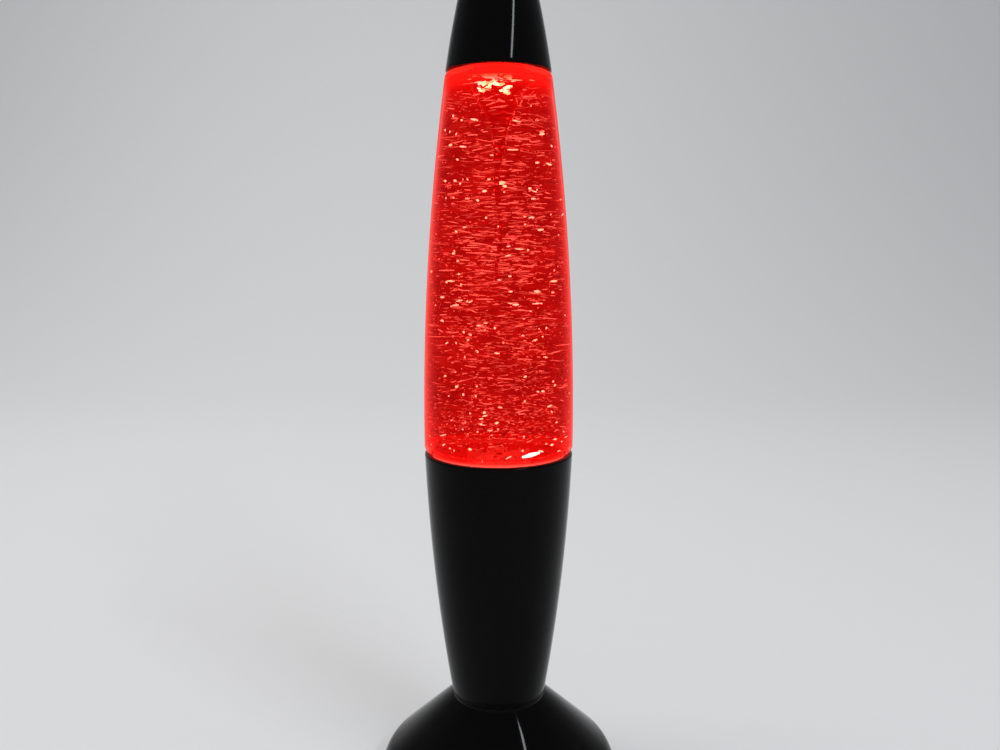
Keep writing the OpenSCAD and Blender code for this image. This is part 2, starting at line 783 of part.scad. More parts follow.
// Contact plates: at each end, neighbours in the series share one plate
module battery_contacts() {
    half_w = contact_w / 2;
    color("#b9bcc0")
    for (end = [0, 1])
        for (i = [0 : cell_count - 1]) {
            x = (i - (cell_count - 1) / 2) * cell_pitch;
            y = end == 0 ? -bay_half_l : bay_half_l - contact_t;
            shared = (i + end) % 2 == 0 && i < cell_count - 1 ? cell_pitch : 0;
            block([x - half_w, y, contact_z], [x + half_w + shared, y + contact_t, bay_top]);
        }
}

module rear_panel() {
    color("#1b1b1d")
    difference() {
        intersection() {
            foot_core();
            panel_block(0, panel_in_y);
        }
        block([-panel_w / 2, panel_y, panel_z], [panel_w / 2, foot_r + overlap, panel_top]);
        translate([-control_offset, panel_in_y - overlap, button_z])
            rotate([-90, 0, 0])
                cylinder(d = button_d + 4 * running, h = panel_t + 2 * overlap);
        translate([control_offset, panel_in_y - overlap, socket_z])
            rotate([-90, 0, 0])
                linear_extrude(panel_t + 2 * overlap)
                    slot_shape(socket_w + slip, socket_h + slip);
    }
}

// Rounded slot, wide along X
module slot_shape(w, h) {
    for (x = [-1, 1])
        translate([x * (w - h) / 2, 0])
            circle(d = h);
    square([w - h, h], center = true);
}

module control_board() {
    color("#1d5a3a")
    block([-control_w / 2, control_y, control_z], [control_w / 2, panel_in_y - slip, control_top]);
}

module switch_body() {
    color("#2a2a2c")
    difference() {
        block([-control_offset - switch_w / 2, control_y + slip, control_top],
              [-control_offset + switch_w / 2, switch_front, control_top + switch_h]);
        translate([-control_offset, switch_front - stem_l - button_travel - slip, button_z])
            rotate([-90, 0, 0])
                cylinder(r = stem_r + running, h = stem_l + button_travel + slip + overlap);
    }
}

module power_button() {
    collar_y = panel_in_y - slip - button_collar_t;
    color("#26262a")
    translate([-control_offset, 0, button_z])
        rotate([-90, 0, 0]) {
            translate([0, 0, collar_y])
                cylinder(d = button_d, h = panel_y + button_proud - collar_y);
            translate([0, 0, collar_y])
                cylinder(r = button_collar_r, h = button_collar_t);
            translate([0, 0, switch_front - stem_l])
                cylinder(r = stem_r, h = collar_y - switch_front + stem_l + overlap);
        }
}

module power_socket() {
    color("#c4c7ca")
    translate([control_offset, panel_y - slip - socket_l, socket_z])
        rotate([-90, 0, 0])
            difference() {
                linear_extrude(socket_l)
                    slot_shape(socket_w, socket_h);
                translate([0, 0, socket_back_t])
                    linear_extrude(socket_l)
                        slot_shape(socket_w - 2 * socket_wall, socket_h - 2 * socket_wall);
            }
}

module socket_tongue() {
    tongue_w = socket_w - 2 * tongue_room;
    tongue_l = socket_l - socket_back_t - tongue_setback;
    color("#18181a")
    translate([control_offset, panel_y - slip - socket_l + socket_back_t, socket_z])
        block([-tongue_w / 2, 0, -tongue_t / 2], [tongue_w / 2, tongue_l, tongue_t / 2]);
}

module column_core() {
    turned(concat([[0, waist_z]], side(waist_r, waist_z, rim_r, rim_z, column_bow), [[0, rim_z]]));
}

module base_column() {
    floor_z = waist_z + column_floor_t;
    low_t = column_floor_t / column_h;
    inner = [
        for (i = [0 : side_steps])
            let (t = low_t + (1 - low_t) * i / side_steps)
            [bowed(waist_r, rim_r, column_bow, t) - column_wall, waist_z + column_h * t]
    ];
    outer = side(waist_r, waist_z, rim_r, rim_z - rim_round, column_bow);
    color("#141416")
    difference() {
        union() {
            turned(concat(
                [[lead_hole_r, waist_z]],
                outer,
                corner([rim_r - rim_round, rim_z - rim_round], rim_round, 0, 90),
                reversed(inner),
                [[lead_hole_r, floor_z]]
            ));
            around(waist_screw_angles, waist_screw_r)
                translate([0, 0, waist_z + overlap])
                    cylinder(r = boss_r, h = boss_h);
            intersection() {
                column_core();
                around(plate_screw_angles, plate_screw_r)
                    translate([0, 0, plate_z - boss_h])
                        cylinder(r = boss_r, h = boss_h);
            }
        }
        around(waist_screw_angles, waist_screw_r)
            translate([0, 0, waist_z - overlap])
                cylinder(d = screw_d + 2 * running, h = screw_l + overlap);
        around(plate_screw_angles, plate_screw_r)
            translate([0, 0, plate_z - screw_l])
                cylinder(d = screw_d + 2 * running, h = screw_l + overlap);
    }
}

module waist_screws() {
    color("#8a8d90")
    around(waist_screw_angles, waist_screw_r)
        translate([0, 0, foot_roof_z])
            screw(screw_d, screw_l, head_r, head_h);
}

module motor_bracket() {
    color("#dcdcd6")
    difference() {
        union() {
            translate([0, 0, plate_z])
                cylinder(r = plate_r, h = bracket_t);
            around(board_screw_angles, board_mid_r)
                translate([0, 0, plate_z])
                    cylinder(r = small_boss_r, h = bracket_t + board_post_h);
        }
        translate([0, 0, plate_z - overlap])
            cylinder(d = motor_boss_d + 2 * slip, h = bracket_t + 2 * overlap);
        around(plate_screw_angles, plate_screw_r)
            translate([0, 0, plate_z - overlap])
                cylinder(d = screw_d + 2 * slip, h = bracket_t + 2 * overlap);
        around([0, 180], motor_hole_orbit)
            translate([0, 0, plate_z - overlap])
                cylinder(d = small_screw_d + 2 * slip, h = bracket_t + 2 * overlap);
        around(board_screw_angles, board_mid_r)
            translate([0, 0, plate_z + bracket_t / 2])
                cylinder(d = small_screw_d + 2 * running, h = bracket_t + board_post_h);
        translate([-board_mid_r, 0, plate_z - overlap])
            cylinder(r = lane / 2 + lead_d + slip, h = bracket_t + 2 * overlap);
    }
}

module bracket_screws() {
    color("#8a8d90")
    around(plate_screw_angles, plate_screw_r)
        translate([0, 0, plate_top])
            mirror([0, 0, 1])
                screw(screw_d, screw_l, head_r, head_h);
}

module motor_can() {
    can_r = motor_d / 2;
    color("#a9adb2")
    difference() {
        union() {
            translate([0, 0, motor_z])
                cylinder(r = can_r, h = motor_h);
            translate([0, 0, plate_z - overlap])
                cylinder(d = motor_boss_d, h = motor_boss_h + overlap);
        }
        translate([0, 0, motor_z - overlap])
            cylinder(r = can_r - motor_sheet, h = motor_h - motor_sheet + overlap);
        translate([0, 0, motor_z])
            cylinder(d = shaft_d + 2 * running, h = motor_h + motor_boss_h + overlap);
        around([0, 180], motor_hole_orbit)
            translate([0, 0, plate_z - motor_sheet - overlap])
                cylinder(d = small_screw_d + 2 * running, h = motor_sheet + 2 * overlap);
    }
}

module motor_end_cap() {
    color("#2f2f33")
    difference() {
        translate([0, 0, motor_z])
            cylinder(r = motor_d / 2 - motor_sheet - running, h = motor_end_t);
        translate([0, 0, motor_z - overlap])
            cylinder(d = shaft_d + 2 * running, h = motor_end_t + 2 * overlap);
    }
}

module motor_terminals() {
    color("#c9a24b")
    for (x = [-terminal_x, terminal_x])
        block([x - terminal_w / 2, -motor_sheet / 2, motor_z - terminal_l],
              [x + terminal_w / 2, motor_sheet / 2, motor_z]);
}

module stator_magnet() {
    ring_r = motor_d / 2 - motor_sheet - running;
    color("#4a4744")
    translate([0, 0, motor_z + motor_end_t + slip])
        tube(ring_r, ring_r - stator_t, motor_h - motor_sheet - motor_end_t - stator_room);
}

module motor_screws() {
    color("#8a8d90")
    around([0, 180], motor_hole_orbit)
        translate([0, 0, plate_top])
            mirror([0, 0, 1])
                screw(small_screw_d, bracket_t + motor_sheet, small_head_r, small_head_h);
}

module motor_shaft() {
    color("#d6d8da")
    translate([0, 0, motor_z])
        cylinder(d = shaft_d, h = shaft_top - motor_z);
}

module motor_armature() {
    armature_r = motor_d / 2 - motor_sheet - stator_t - 2 * slip;
    color("#8c5a32")
    translate([0, 0, motor_z + motor_end_t + 2 * slip])
        tube(armature_r, shaft_d / 2 + running / 5, motor_h - motor_sheet - motor_end_t - 4 * slip);
}

module magnet_pair_places() {
    around([0, 180], magnet_orbit)
        children();
}

module magnet_carrier() {
    color("#e4e4de")
    difference() {
        union() {
            translate([0, 0, carrier_z])
                cylinder(r = carrier_r, h = carrier_t);
            translate([0, 0, hub_z])
                cylinder(d = carrier_hub_d, h = carrier_z - hub_z + overlap);
        }
        translate([0, 0, hub_z - overlap])
            cylinder(r = shaft_d / 2 + running / 5, h = shaft_top - hub_z + overlap);
        magnet_pair_places()
            translate([0, 0, carrier_top - magnet_t])
                cylinder(d = magnet_d + 2 * running, h = magnet_t + overlap);
    }
}

module drive_magnets() {
    color("#b4b7ba")
    magnet_pair_places()
        translate([0, 0, carrier_top - magnet_t])
            cylinder(d = magnet_d, h = magnet_t);
}

module lamp_board() {
    color("#e8e8e4")
    difference() {
        translate([0, 0, board_z])
            tube(board_r, board_hole_r, board_t);
        around(board_screw_angles, board_mid_r)
            translate([0, 0, board_z - overlap])
                cylinder(d = small_screw_d + 2 * slip, h = board_t + 2 * overlap);
    }
}

module board_screws() {
    color("#8a8d90")
    around(board_screw_angles, board_mid_r)
        translate([0, 0, board_top])
            mirror([0, 0, 1])
                screw(small_screw_d, board_screw_l, small_head_r, small_head_h);
}

module diodes() {
    lens_r = 0.4 * led_w;
    color("#ffe9dd")
    around([for (i = [0 : led_count - 1]) 360 * i / led_count], board_mid_r)
        translate([0, 0, board_top]) {
            block([-led_w / 2, -led_w / 2, 0], [led_w / 2, led_w / 2, led_h]);
            translate([0, 0, led_h - overlap])
                cylinder(r = lens_r, h = led_lens_h + overlap);
        }
}

module reflector() {
    color("#f4f4f0")
    difference() {
        turned([
            [plate_r - reflector_wall, plate_top],
            [plate_r, plate_top],
            [plate_r, window_z],
            [plate_r - reflector_wall / 2, window_z],
        ]);
        around(plate_screw_angles, plate_screw_r)
            translate([0, 0, plate_top - overlap])
                cylinder(r = head_r + slip, h = head_h + slip + overlap);
    }
}

module light_window() {
    color([0.95, 0.95, 0.95, 0.5])
    translate([0, 0, window_z])
        cylinder(r = window_r, h = window_t);
}

module seat_ring() {
    color("#333336")
    translate([0, 0, seat_z])
        tube(window_r, window_r - seat_w, seat_t);
}

module leads(routes) {
    for (route = routes)
        swept(smooth(route), lead_r, lead_sides);
}

module red_leads() {
    color("#b3161b")
    leads(red_routes);
}

module black_leads() {
    color("#202022")
    leads(black_routes);
}

module bottle() {
    roof_z = top_z - bottle_wall;
    inner = [
        for (i = [0 : side_steps])
            let (z = low_z + (roof_z - low_z) * i / side_steps) [bottle_in_r(z), z]
    ];
    color([1, 0.75, 0.72, 0.35])
    difference() {
        union() {
            turned(concat(
                [[0, spigot_z], [spigot_r, spigot_z]],
                corner(low_round, low_shoulder_r, -90, 0),
                side(bottle_low_r, low_z, bottle_top_r, high_z, bottle_bow),
                corner([bottle_top_r - top_shoulder_r, high_z], top_shoulder_r, 0, 90),
                [[neck_r, top_z], [neck_r, neck_top], [neck_bore_r, neck_top]],
                [[neck_bore_r, roof_z]],
                reversed(inner),
                reversed(corner(low_round, low_inner_round, -90, 0)),
                [[spigot_r - bottle_wall, low_z - low_inner_round], [spigot_r - bottle_wall, floor_top]],
                [[0, floor_top]]
            ));
            translate([0, 0, floor_top - overlap])
                cylinder(d = pin_boss_d, h = pin_boss_h + overlap);
        }
        translate([0, 0, pin_z])
            cylinder(r = pin_d / 2 + running / 5, h = bottle_floor_t + pin_boss_h);
    }
}

module pivot_pin() {
    color("#d6d8da")
    translate([0, 0, pin_z])
        cylinder(d = pin_d, h = pin_top - pin_z);
}

module pin_cap() {
    color("#e4e4de")
    translate([0, 0, pin_cap_z])
        difference() {
            cylinder(d = pin_cap_d, h = pin_cap_h);
            translate([0, 0, -overlap])
                cylinder(r = pin_d / 2 + running / 5, h = pin_top - pin_cap_z + overlap);
        }
}

module stirrer() {
    blade_in_r = stirrer_hub_d / 2 - overlap;
    color("#e9e6e0")
    difference() {
        union() {
            translate([0, 0, stirrer_z])
                cylinder(r = stirrer_plate_r, h = stirrer_plate_t);
            translate([0, 0, stirrer_z])
                cylinder(d = stirrer_hub_d, h = stirrer_top - stirrer_z);
            for (i = [0 : stirrer_blades - 1])
                rotate([0, 0, 45 + 360 * i / stirrer_blades])
                    block([blade_in_r, -blade_t / 2, stirrer_plate_top - overlap],
                          [stirrer_d / 2, blade_t / 2, stirrer_top]);
        }
        translate([0, 0, stirrer_z - overlap])
            cylinder(d = pin_d + 2 * running, h = stirrer_top - stirrer_z + 2 * overlap);
        magnet_pair_places()
            translate([0, 0, stirrer_z - overlap])
                cylinder(d = magnet_d + 2 * running, h = magnet_t + overlap);
    }
}

module stirrer_magnets() {
    color("#b4b7ba")
    magnet_pair_places()
        translate([0, 0, stirrer_z])
            cylinder(d = magnet_d, h = magnet_t);
}

module liquid() {
    outer = [
        for (i = [0 : side_steps])
            let (z = low_z + (level_z - low_z) * i / side_steps) [bottle_in_r(z) - slip, z]
    ];
    funnel = [
        for (i = [0 : side_steps])
            let (z = level_z - funnel_depth * i / side_steps) [funnel_r(z), z]
    ];
    step_z = low_z - low_inner_round + slip;
    spigot_in_r = spigot_r - bottle_wall - slip;
    color([0.9, 0.06, 0.05, 0.8])
    turned(concat(
        [[0, chamber_top], [chamber_r, chamber_top], [chamber_r, floor_top + slip]],
        [[spigot_in_r, floor_top + slip], [spigot_in_r, step_z], [spigot_r, step_z]],
        outer,
        funnel,
        [[0, funnel_tip_z]]
    ));
}

// Flakes are spread by the golden angle and lie along the stream, each with its own lean
module glitter() {
    golden = 137.508;
    radius_step = 0.7549;
    length_step = 0.5698;
    low = chamber_top + 2 * flake_clear;
    high = level_z - 2 * flake_clear;
    color("#ff9c88")
    for (i = [0 : flake_count - 1]) {
        z = low + (high - low) * (i + 0.5) / flake_count;
        part = (i * radius_step) % 1;
        inner = max(funnel_r(z), flake_l_max / 2) + flake_clear;
        outer = bottle_in_r(max(z, low_z)) - slip - flake_clear;
        r = inner + (outer - inner) * sqrt(part);
        l = flake_l_min + (flake_l_max - flake_l_min) * ((i * length_step) % 1);
        rotate([0, 0, golden * i])
            translate([r, 0, z])
                rotate([flake_lean * sin(97 * i), 0, flake_lean * cos(61 * i)])
                    cube([flake_t, l, flake_w], center = true);
    }
}

module closure_seal() {
    color("#f0efe9")
    translate([0, 0, neck_top])
        cylinder(r = neck_r, h = seal_t);
}

module bottle_closure() {
    skirt_r = closure_r - grip_r;
    color("#e9e9e6")
    difference() {
        union() {
            translate([0, 0, closure_z])
                cylinder(r = skirt_r, h = closure_top - closure_z);
            around([for (i = [0 : closure_grips - 1]) 360 * i / closure_grips], skirt_r)
                translate([0, 0, closure_z])
                    cylinder(r = grip_r, h = closure_top - closure_z - grip_edge);
        }
        translate([0, 0, closure_z - overlap])
            cylinder(r = neck_r + slip, h = neck_top + seal_t - closure_z + overlap);
    }
}

module top_cap() {
    roof_z = cap_top - cap_wall;
    lip_t = (cap_h - cap_round) / cap_h;
    edge_r = bowed(cap_r, cap_top_r, cap_bow, lip_t);
    outer = [
        for (i = [0 : side_steps])
            let (t = lip_t * i / side_steps) [bowed(cap_r, cap_top_r, cap_bow, t), cap_z + cap_h * t]
    ];
    inner = [
        for (i = [0 : side_steps])
            let (z = cap_z + (roof_z - cap_z) * i / side_steps) [cap_in_r(z), z]
    ];
    color("#141416") {
        turned(concat(
            outer,
            corner([edge_r - cap_round, cap_top - cap_round], cap_round, 0, 90),
            [[0, cap_top], [0, roof_z]],
            reversed(inner)
        ));
        intersection() {
            turned(concat([[0, cap_z]], outer, [[0, cap_top - cap_round]]));
            for (a = [0 : 90 : 270])
                rotate([0, 0, a])
                    block([closure_r - cap_rib_reach, -cap_rib_t / 2, closure_top],
                          [cap_r, cap_rib_t / 2, closure_top + cap_rib_h]);
        }
    }
}

base_foot();
bottom_cover();
cover_screws();
rubber_feet();
battery_door();
cells();
battery_springs();
battery_contacts();
rear_panel();
control_board();
switch_body();
power_button();
power_socket();
socket_tongue();
base_column();
waist_screws();
motor_bracket();
bracket_screws();
motor_can();
motor_end_cap();
motor_terminals();
stator_magnet();
motor_screws();
motor_shaft();
motor_armature();
magnet_carrier();
drive_magnets();
lamp_board();
board_screws();
diodes();
reflector();
light_window();
seat_ring();
red_leads();
black_leads();
bottle();
pivot_pin();
pin_cap();
stirrer();
stirrer_magnets();
liquid();
glitter();
closure_seal();
bottle_closure();
top_cap();
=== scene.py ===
import math

import bmesh
import bpy
from mathutils import Matrix, Vector


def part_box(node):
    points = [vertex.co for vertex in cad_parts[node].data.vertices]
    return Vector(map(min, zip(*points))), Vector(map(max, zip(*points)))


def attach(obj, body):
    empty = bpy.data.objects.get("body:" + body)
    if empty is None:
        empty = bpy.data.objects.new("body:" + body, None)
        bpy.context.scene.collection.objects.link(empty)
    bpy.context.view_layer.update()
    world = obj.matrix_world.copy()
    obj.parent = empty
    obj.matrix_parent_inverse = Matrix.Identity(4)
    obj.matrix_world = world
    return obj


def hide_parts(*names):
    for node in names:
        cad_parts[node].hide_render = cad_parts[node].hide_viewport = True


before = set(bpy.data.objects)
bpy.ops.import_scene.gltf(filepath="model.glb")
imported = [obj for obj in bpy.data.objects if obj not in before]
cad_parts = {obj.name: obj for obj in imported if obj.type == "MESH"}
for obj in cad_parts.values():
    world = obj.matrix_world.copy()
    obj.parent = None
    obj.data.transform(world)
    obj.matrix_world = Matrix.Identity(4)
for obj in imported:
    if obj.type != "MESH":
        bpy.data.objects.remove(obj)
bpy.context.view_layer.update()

# Rubber feet: four soft discs punched from sheet rubber and glued into shallow seats under the
# cover. The lamp stands on them.


def add(tree, kind, given=None, **settings):
    """A node with its settings, and its inputs set to a value or joined to a socket."""
    made = tree.nodes.new(kind)
    for name, value in settings.items():
        setattr(made, name, value)
    for name, value in (given or {}).items():
        if isinstance(value, bpy.types.NodeSocket):
            tree.links.new(value, made.inputs[name])
        else:
            made.inputs[name].default_value = value
    return made


def calc(tree, operation, *terms):
    """The result of one sum on values or sockets."""
    return add(tree, "ShaderNodeMath", dict(enumerate(terms)), operation=operation).outputs[0]


def ramp(tree, value, start, end, top=1.0):
    """Nought where a value is at start, rising to top where it is at end, and level beyond."""
    return add(tree, "ShaderNodeMapRange", {0: value, 1: start, 2: end, 3: 0.0, 4: top}).outputs[0]


def place_in(tree):
    """Where a point of the surface lies, in the lamp's own frame."""
    return add(tree, "ShaderNodeTexCoord").outputs["Object"]


def stretched(tree, place, scale):
    """A place with its own scale each way, so that a pattern on it is drawn out into lines."""
    return add(tree, "ShaderNodeMapping", {"Vector": place, "Scale": scale}).outputs[0]


def noise(tree, place, scale, detail, distortion=0.0):
    """A cloudy pattern of values between 0 and 1."""
    given = {"Vector": place, "Scale": scale, "Detail": detail, "Distortion": distortion}
    return add(tree, "ShaderNodeTexNoise", given).outputs[0]


def new_group(name, kind, takes, gives):
    """An empty node group with its named sockets: the tree, what it is given, what it puts out."""
    tree = bpy.data.node_groups.new(name, kind)
    for label, socket, value in takes:
        made = tree.interface.new_socket(label, in_out="INPUT", socket_type=socket)
        if value is not None:
            made.default_value = value
    for label, socket in gives:
        tree.interface.new_socket(label, in_out="OUTPUT", socket_type=socket)
    return tree, tree.nodes.new("NodeGroupInput").outputs, tree.nodes.new("NodeGroupOutput").inputs


def mark_group(name, takes):
    """A group of surface marks, which puts out a colour, a roughness and a fine height."""
    gives = [("Colour", "NodeSocketColor"), ("Roughness", "NodeSocketFloat"), ("Height", "NodeSocketFloat")]
    return new_group(name, "ShaderNodeTree", takes, gives)


def clouded(tree, takes, cloud):
    """A group's colour, made lighter and darker by a cloudy pattern as far as its tone says."""
    swing = calc(tree, "MULTIPLY", takes["Tone"], 2.0)
    lift = calc(tree, "MULTIPLY_ADD", cloud, swing, calc(tree, "SUBTRACT", 1.0, takes["Tone"]))
    scaled = add(tree, "ShaderNodeVectorMath", {0: takes["Colour"], "Scale": lift}, operation="SCALE")
    return scaled.outputs[0]


# Marks of moulding and handling: broad changes of tone, a fine grain, and rubbed upright streaks
TONE_SCALE, RUB_SCALE, RUB_RANGE = 75.0, (700.0, 700.0, 45.0), (0.52, 0.74)
GRAIN_DEPTH, GRAIN_FLOOR, RELIEF_STRENGTH = 0.4, 0.8, 0.7
MOULDED_SKIN, takes, gives = mark_group("moulded_skin", [
    ("Colour", "NodeSocketColor", (0.02, 0.02, 0.02, 1)),
    ("Tone", "NodeSocketFloat", 0.1),
    ("Grain", "NodeSocketFloat", 2000.0),
    ("Gloss", "NodeSocketFloat", 0.4),
    ("Scuff", "NodeSocketFloat", 0.1),
])
place = place_in(MOULDED_SKIN)
broad = noise(MOULDED_SKIN, place, TONE_SCALE, detail=3.0)
fine = noise(MOULDED_SKIN, place, takes["Grain"], detail=2.0)
rubbed = noise(MOULDED_SKIN, stretched(MOULDED_SKIN, place, RUB_SCALE), scale=1.0, detail=4.0)
rubbed = ramp(MOULDED_SKIN, rubbed, *RUB_RANGE)
worn = calc(MOULDED_SKIN, "MULTIPLY_ADD", rubbed, takes["Scuff"], takes["Gloss"])
grain = calc(MOULDED_SKIN, "MULTIPLY_ADD", fine, GRAIN_DEPTH, GRAIN_FLOOR)
MOULDED_SKIN.links.new(clouded(MOULDED_SKIN, takes, broad), gives["Colour"])
MOULDED_SKIN.links.new(calc(MOULDED_SKIN, "MULTIPLY", worn, grain), gives["Roughness"])
MOULDED_SKIN.links.new(fine, gives["Height"])


def new_material(name):
    """A material with its nodes, as yet plain."""
    made = bpy.data.materials.new(name)
    made.use_nodes = True
    return made


def nodes_of(material):
    """A material's tree and its shader."""
    return material.node_tree, material.node_tree.nodes["Principled BSDF"]


def set_plain(shader, **values):
    """Puts values that are the same all over on the shader's own sockets of those names."""
    for label, value in values.items():
        shader.inputs[label.replace("_", " ")].default_value = value


def skinned(name, group, values, depth, **plain):
    """A material whose colour, roughness and fine relief come from a group of surface marks."""
    made = new_material(name)
    tree, shader = nodes_of(made)
    marks = add(tree, "ShaderNodeGroup", node_tree=group)
    for label, value in values.items():
        marks.inputs[label].default_value = value
    raised = {"Height": marks.outputs["Height"], "Distance": depth, "Strength": RELIEF_STRENGTH}
    relief = add(tree, "ShaderNodeBump", raised)
    tree.links.new(marks.outputs["Colour"], shader.inputs["Base Color"])
    tree.links.new(marks.outputs["Roughness"], shader.inputs["Roughness"])
    tree.links.new(relief.outputs["Normal"], shader.inputs["Normal"])
    set_plain(shader, **plain)
    return made


def moulded(name, colour, gloss, grain=2200.0, tone=0.14, scuff=0.1, depth=0.00001, **plain):
    """Moulded plastic or rubber. A plain value goes to the shader's socket of that name."""
    values = {"Colour": (*colour, 1), "Tone": tone, "Grain": grain, "Gloss": gloss, "Scuff": scuff}
    return skinned(name, MOULDED_SKIN, values, depth, **plain)


def settle(piece):
    """Makes what the modifiers give the piece's own mesh."""
    seen = piece.evaluated_get(bpy.context.evaluated_depsgraph_get())
    mesh = bpy.data.meshes.new_from_object(seen)
    piece.modifiers.clear()
    piece.data = mesh
    return piece


def creased(mesh, degrees):
    """Marks the edges that turn by more than this as sharp."""
    mesh.set_sharp_from_angle(angle=math.radians(degrees))


def piece_of(name, bm, material, sharp=35):
    """A piece from a mesh under work, shaded smooth but for its sharp edges."""
    mesh = bpy.data.meshes.new(name)
    bm.to_mesh(mesh)
    bm.free()
    mesh.materials.append(material)
    mesh.shade_smooth()
    creased(mesh, sharp)
    made = bpy.data.objects.new(name, mesh)
    bpy.context.scene.collection.objects.link(made)
    return made


JOIN_DISTANCE, FLAT_ANGLE, BROKEN_ANGLE, EASED_CREASE = 1e-6, 0.5, 38, 50


def eased(name, node, material, width):
    """A fixed-frame solid as one joined mesh, with its sharp edges broken by a small bevel."""
    bm = bmesh.new()
    bm.from_mesh(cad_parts[node].data)
    bmesh.ops.remove_doubles(bm, verts=bm.verts, dist=JOIN_DISTANCE)
    flat = math.radians(FLAT_ANGLE)
    bmesh.ops.dissolve_limit(bm, angle_limit=flat, verts=bm.verts, edges=bm.edges)
    made = piece_of(name, bm, material)
    broken = made.modifiers.new("broken_edges", "BEVEL")
    broken.width = width
    broken.segments = 2
    broken.limit_method = "ANGLE"
    broken.angle_limit = math.radians(BROKEN_ANGLE)
    settle(made)
    creased(made.data, EASED_CREASE)
    return made


foot_rubber = moulded("foot_rubber", (0.022, 0.022, 0.022), gloss=0.78, grain=5200.0, scuff=0.12,
                      depth=0.00003)
pads = eased("foot_pads", "rubber_feet", foot_rubber, width=0.0004)
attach(pads, "base")
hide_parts("rubber_feet")

# Bottom cover and battery door: black mouldings with a spark-grained skin. Four screws hold the
# cover in the foot. The door hooks in by two tabs and swings down by its finger lip.
cover_black = moulded("cover_black", (0.014, 0.014, 0.015), gloss=0.5, grain=3400.0, scuff=0.12,
                      depth=0.00005)
cover = eased("bottom_plate", "bottom_cover", cover_black, width=0.00025)
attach(cover, "base")
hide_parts("bottom_cover")


def geometry_tree(name, takes):
    """A geometry tree that makes its own mesh: the tree, what it is given and what it puts out."""
    tree, given, out = new_group(name, "GeometryNodeTree", takes, [("Geometry", "NodeSocketGeometry")])
    tree.is_modifier = True
    return tree, given, out


def copied(tree, points, pattern, way, size=(1, 1, 1)):
    """A copy of a pattern at each point, turned its way."""
    given = {"Points": points, "Instance": pattern, "Rotation": way, "Scale": size}
    return add(tree, "GeometryNodeInstanceOnPoints", given).outputs[0]


def painted(tree, copies, material):
    """Copies made real and given their material."""
    real = add(tree, "GeometryNodeRealizeInstances", {0: copies}).outputs[0]
    return add(tree, "GeometryNodeSetMaterial", {0: real, "Material": material}).outputs[0]


def grown(name, tree, values):
    """A piece made by a geometry tree from its named inputs, turned into a plain mesh."""
    made = bpy.data.objects.new(name, bpy.data.meshes.new(name))
    bpy.context.scene.collection.objects.link(made)
    grower = made.modifiers.new("grown", "NODES")
    grower.node_group = tree
    for item in tree.interface.items_tree:
        if item.in_out == "INPUT" and item.name in values:
            grower[item.identifier] = values[item.name]
    made.update_tag()
    return settle(made)


def joined(first, *others):
    """One piece from several: the others' meshes go into the first, and their objects go."""
    for other in others:
        slots = []
        for m in other.data.materials:
            if m and first.data.materials.find(m.name) < 0:
                first.data.materials.append(m)
            slots.append(first.data.materials.find(m.name) if m else 0)
        for face in other.data.polygons:
            face.material_index = slots[face.material_index]
        bm = bmesh.new()
        bm.from_mesh(first.data)
        bm.from_mesh(other.data)
        bm.to_mesh(first.data)
        bm.free()
        bpy.data.objects.remove(other)
    return first


# Grip bars across the door, in a row
GRIP_ROW, takes, gives = geometry_tree("grip_row", [
    ("Count", "NodeSocketInt", 5),
    ("Start", "NodeSocketVector", (0, 0, 0)),
    ("Step", "NodeSocketVector", (0, 0, 0)),
    ("Bar Radius", "NodeSocketFloat", 0.0005),
    ("Bar Length", "NodeSocketFloat", 0.01),
    ("Material", "NodeSocketMaterial", None),
])
line = {"Count": takes["Count"], "Start Location": takes["Start"], "Offset": takes["Step"]}
row = add(GRIP_ROW, "GeometryNodeMeshLine", line).outputs[0]
round_bar = {"Vertices": 12, "Radius": takes["Bar Radius"], "Depth": takes["Bar Length"]}
bar = add(GRIP_ROW, "GeometryNodeMeshCylinder", round_bar).outputs[0]
lying = add(GRIP_ROW, "FunctionNodeEulerToRotation", {0: (0, math.pi / 2, 0)}).outputs[0]
bars = copied(GRIP_ROW, row, bar, lying)
GRIP_ROW.links.new(painted(GRIP_ROW, bars, takes["Material"]), gives[0])

FIRST_GRIP, GRIP_STEP = 0.0075, 0.0016
door_low, door_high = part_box("battery_door")
door = eased("battery_lid", "battery_door", cover_black, width=0.00025)
grips = grown("door_grips", GRIP_ROW, {
    "Count": 5,
    "Start": (0, door_high.y - FIRST_GRIP, door_low.z),
    "Step": (0, -GRIP_STEP, 0),
    "Bar Radius": 0.0004,
    "Bar Length": 0.018,
    "Material": cover_black,
})
joined(door, grips)
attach(door, "battery_door")
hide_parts("battery_door")

# Screws: zinc-plated steel with a pan head and a cross recess. Case screws hold cover, waist and
# drive plate, small ones the motor and the lamp board.

# Marks of drawing and plating: fine lines along the metal and a slightly clouded tone
LINE_STRETCH, PLATING_SCALE, LINE_GLOSS = (1.0, 1.0, 0.06), 240.0, 0.14
DRAWN_METAL, takes, gives = mark_group("drawn_metal", [
    ("Colour", "NodeSocketColor", (0.5, 0.5, 0.5, 1)),
    ("Tone", "NodeSocketFloat", 0.1),
    ("Grain", "NodeSocketFloat", 3000.0),
    ("Gloss", "NodeSocketFloat", 0.3),
])
place = place_in(DRAWN_METAL)
lines = noise(DRAWN_METAL, stretched(DRAWN_METAL, place, LINE_STRETCH), takes["Grain"], detail=3.0)
cloud = noise(DRAWN_METAL, place, PLATING_SCALE, detail=3.0)
DRAWN_METAL.links.new(clouded(DRAWN_METAL, takes, cloud), gives["Colour"])
dulled = calc(DRAWN_METAL, "MULTIPLY_ADD", lines, LINE_GLOSS, takes["Gloss"])
DRAWN_METAL.links.new(dulled, gives["Roughness"])
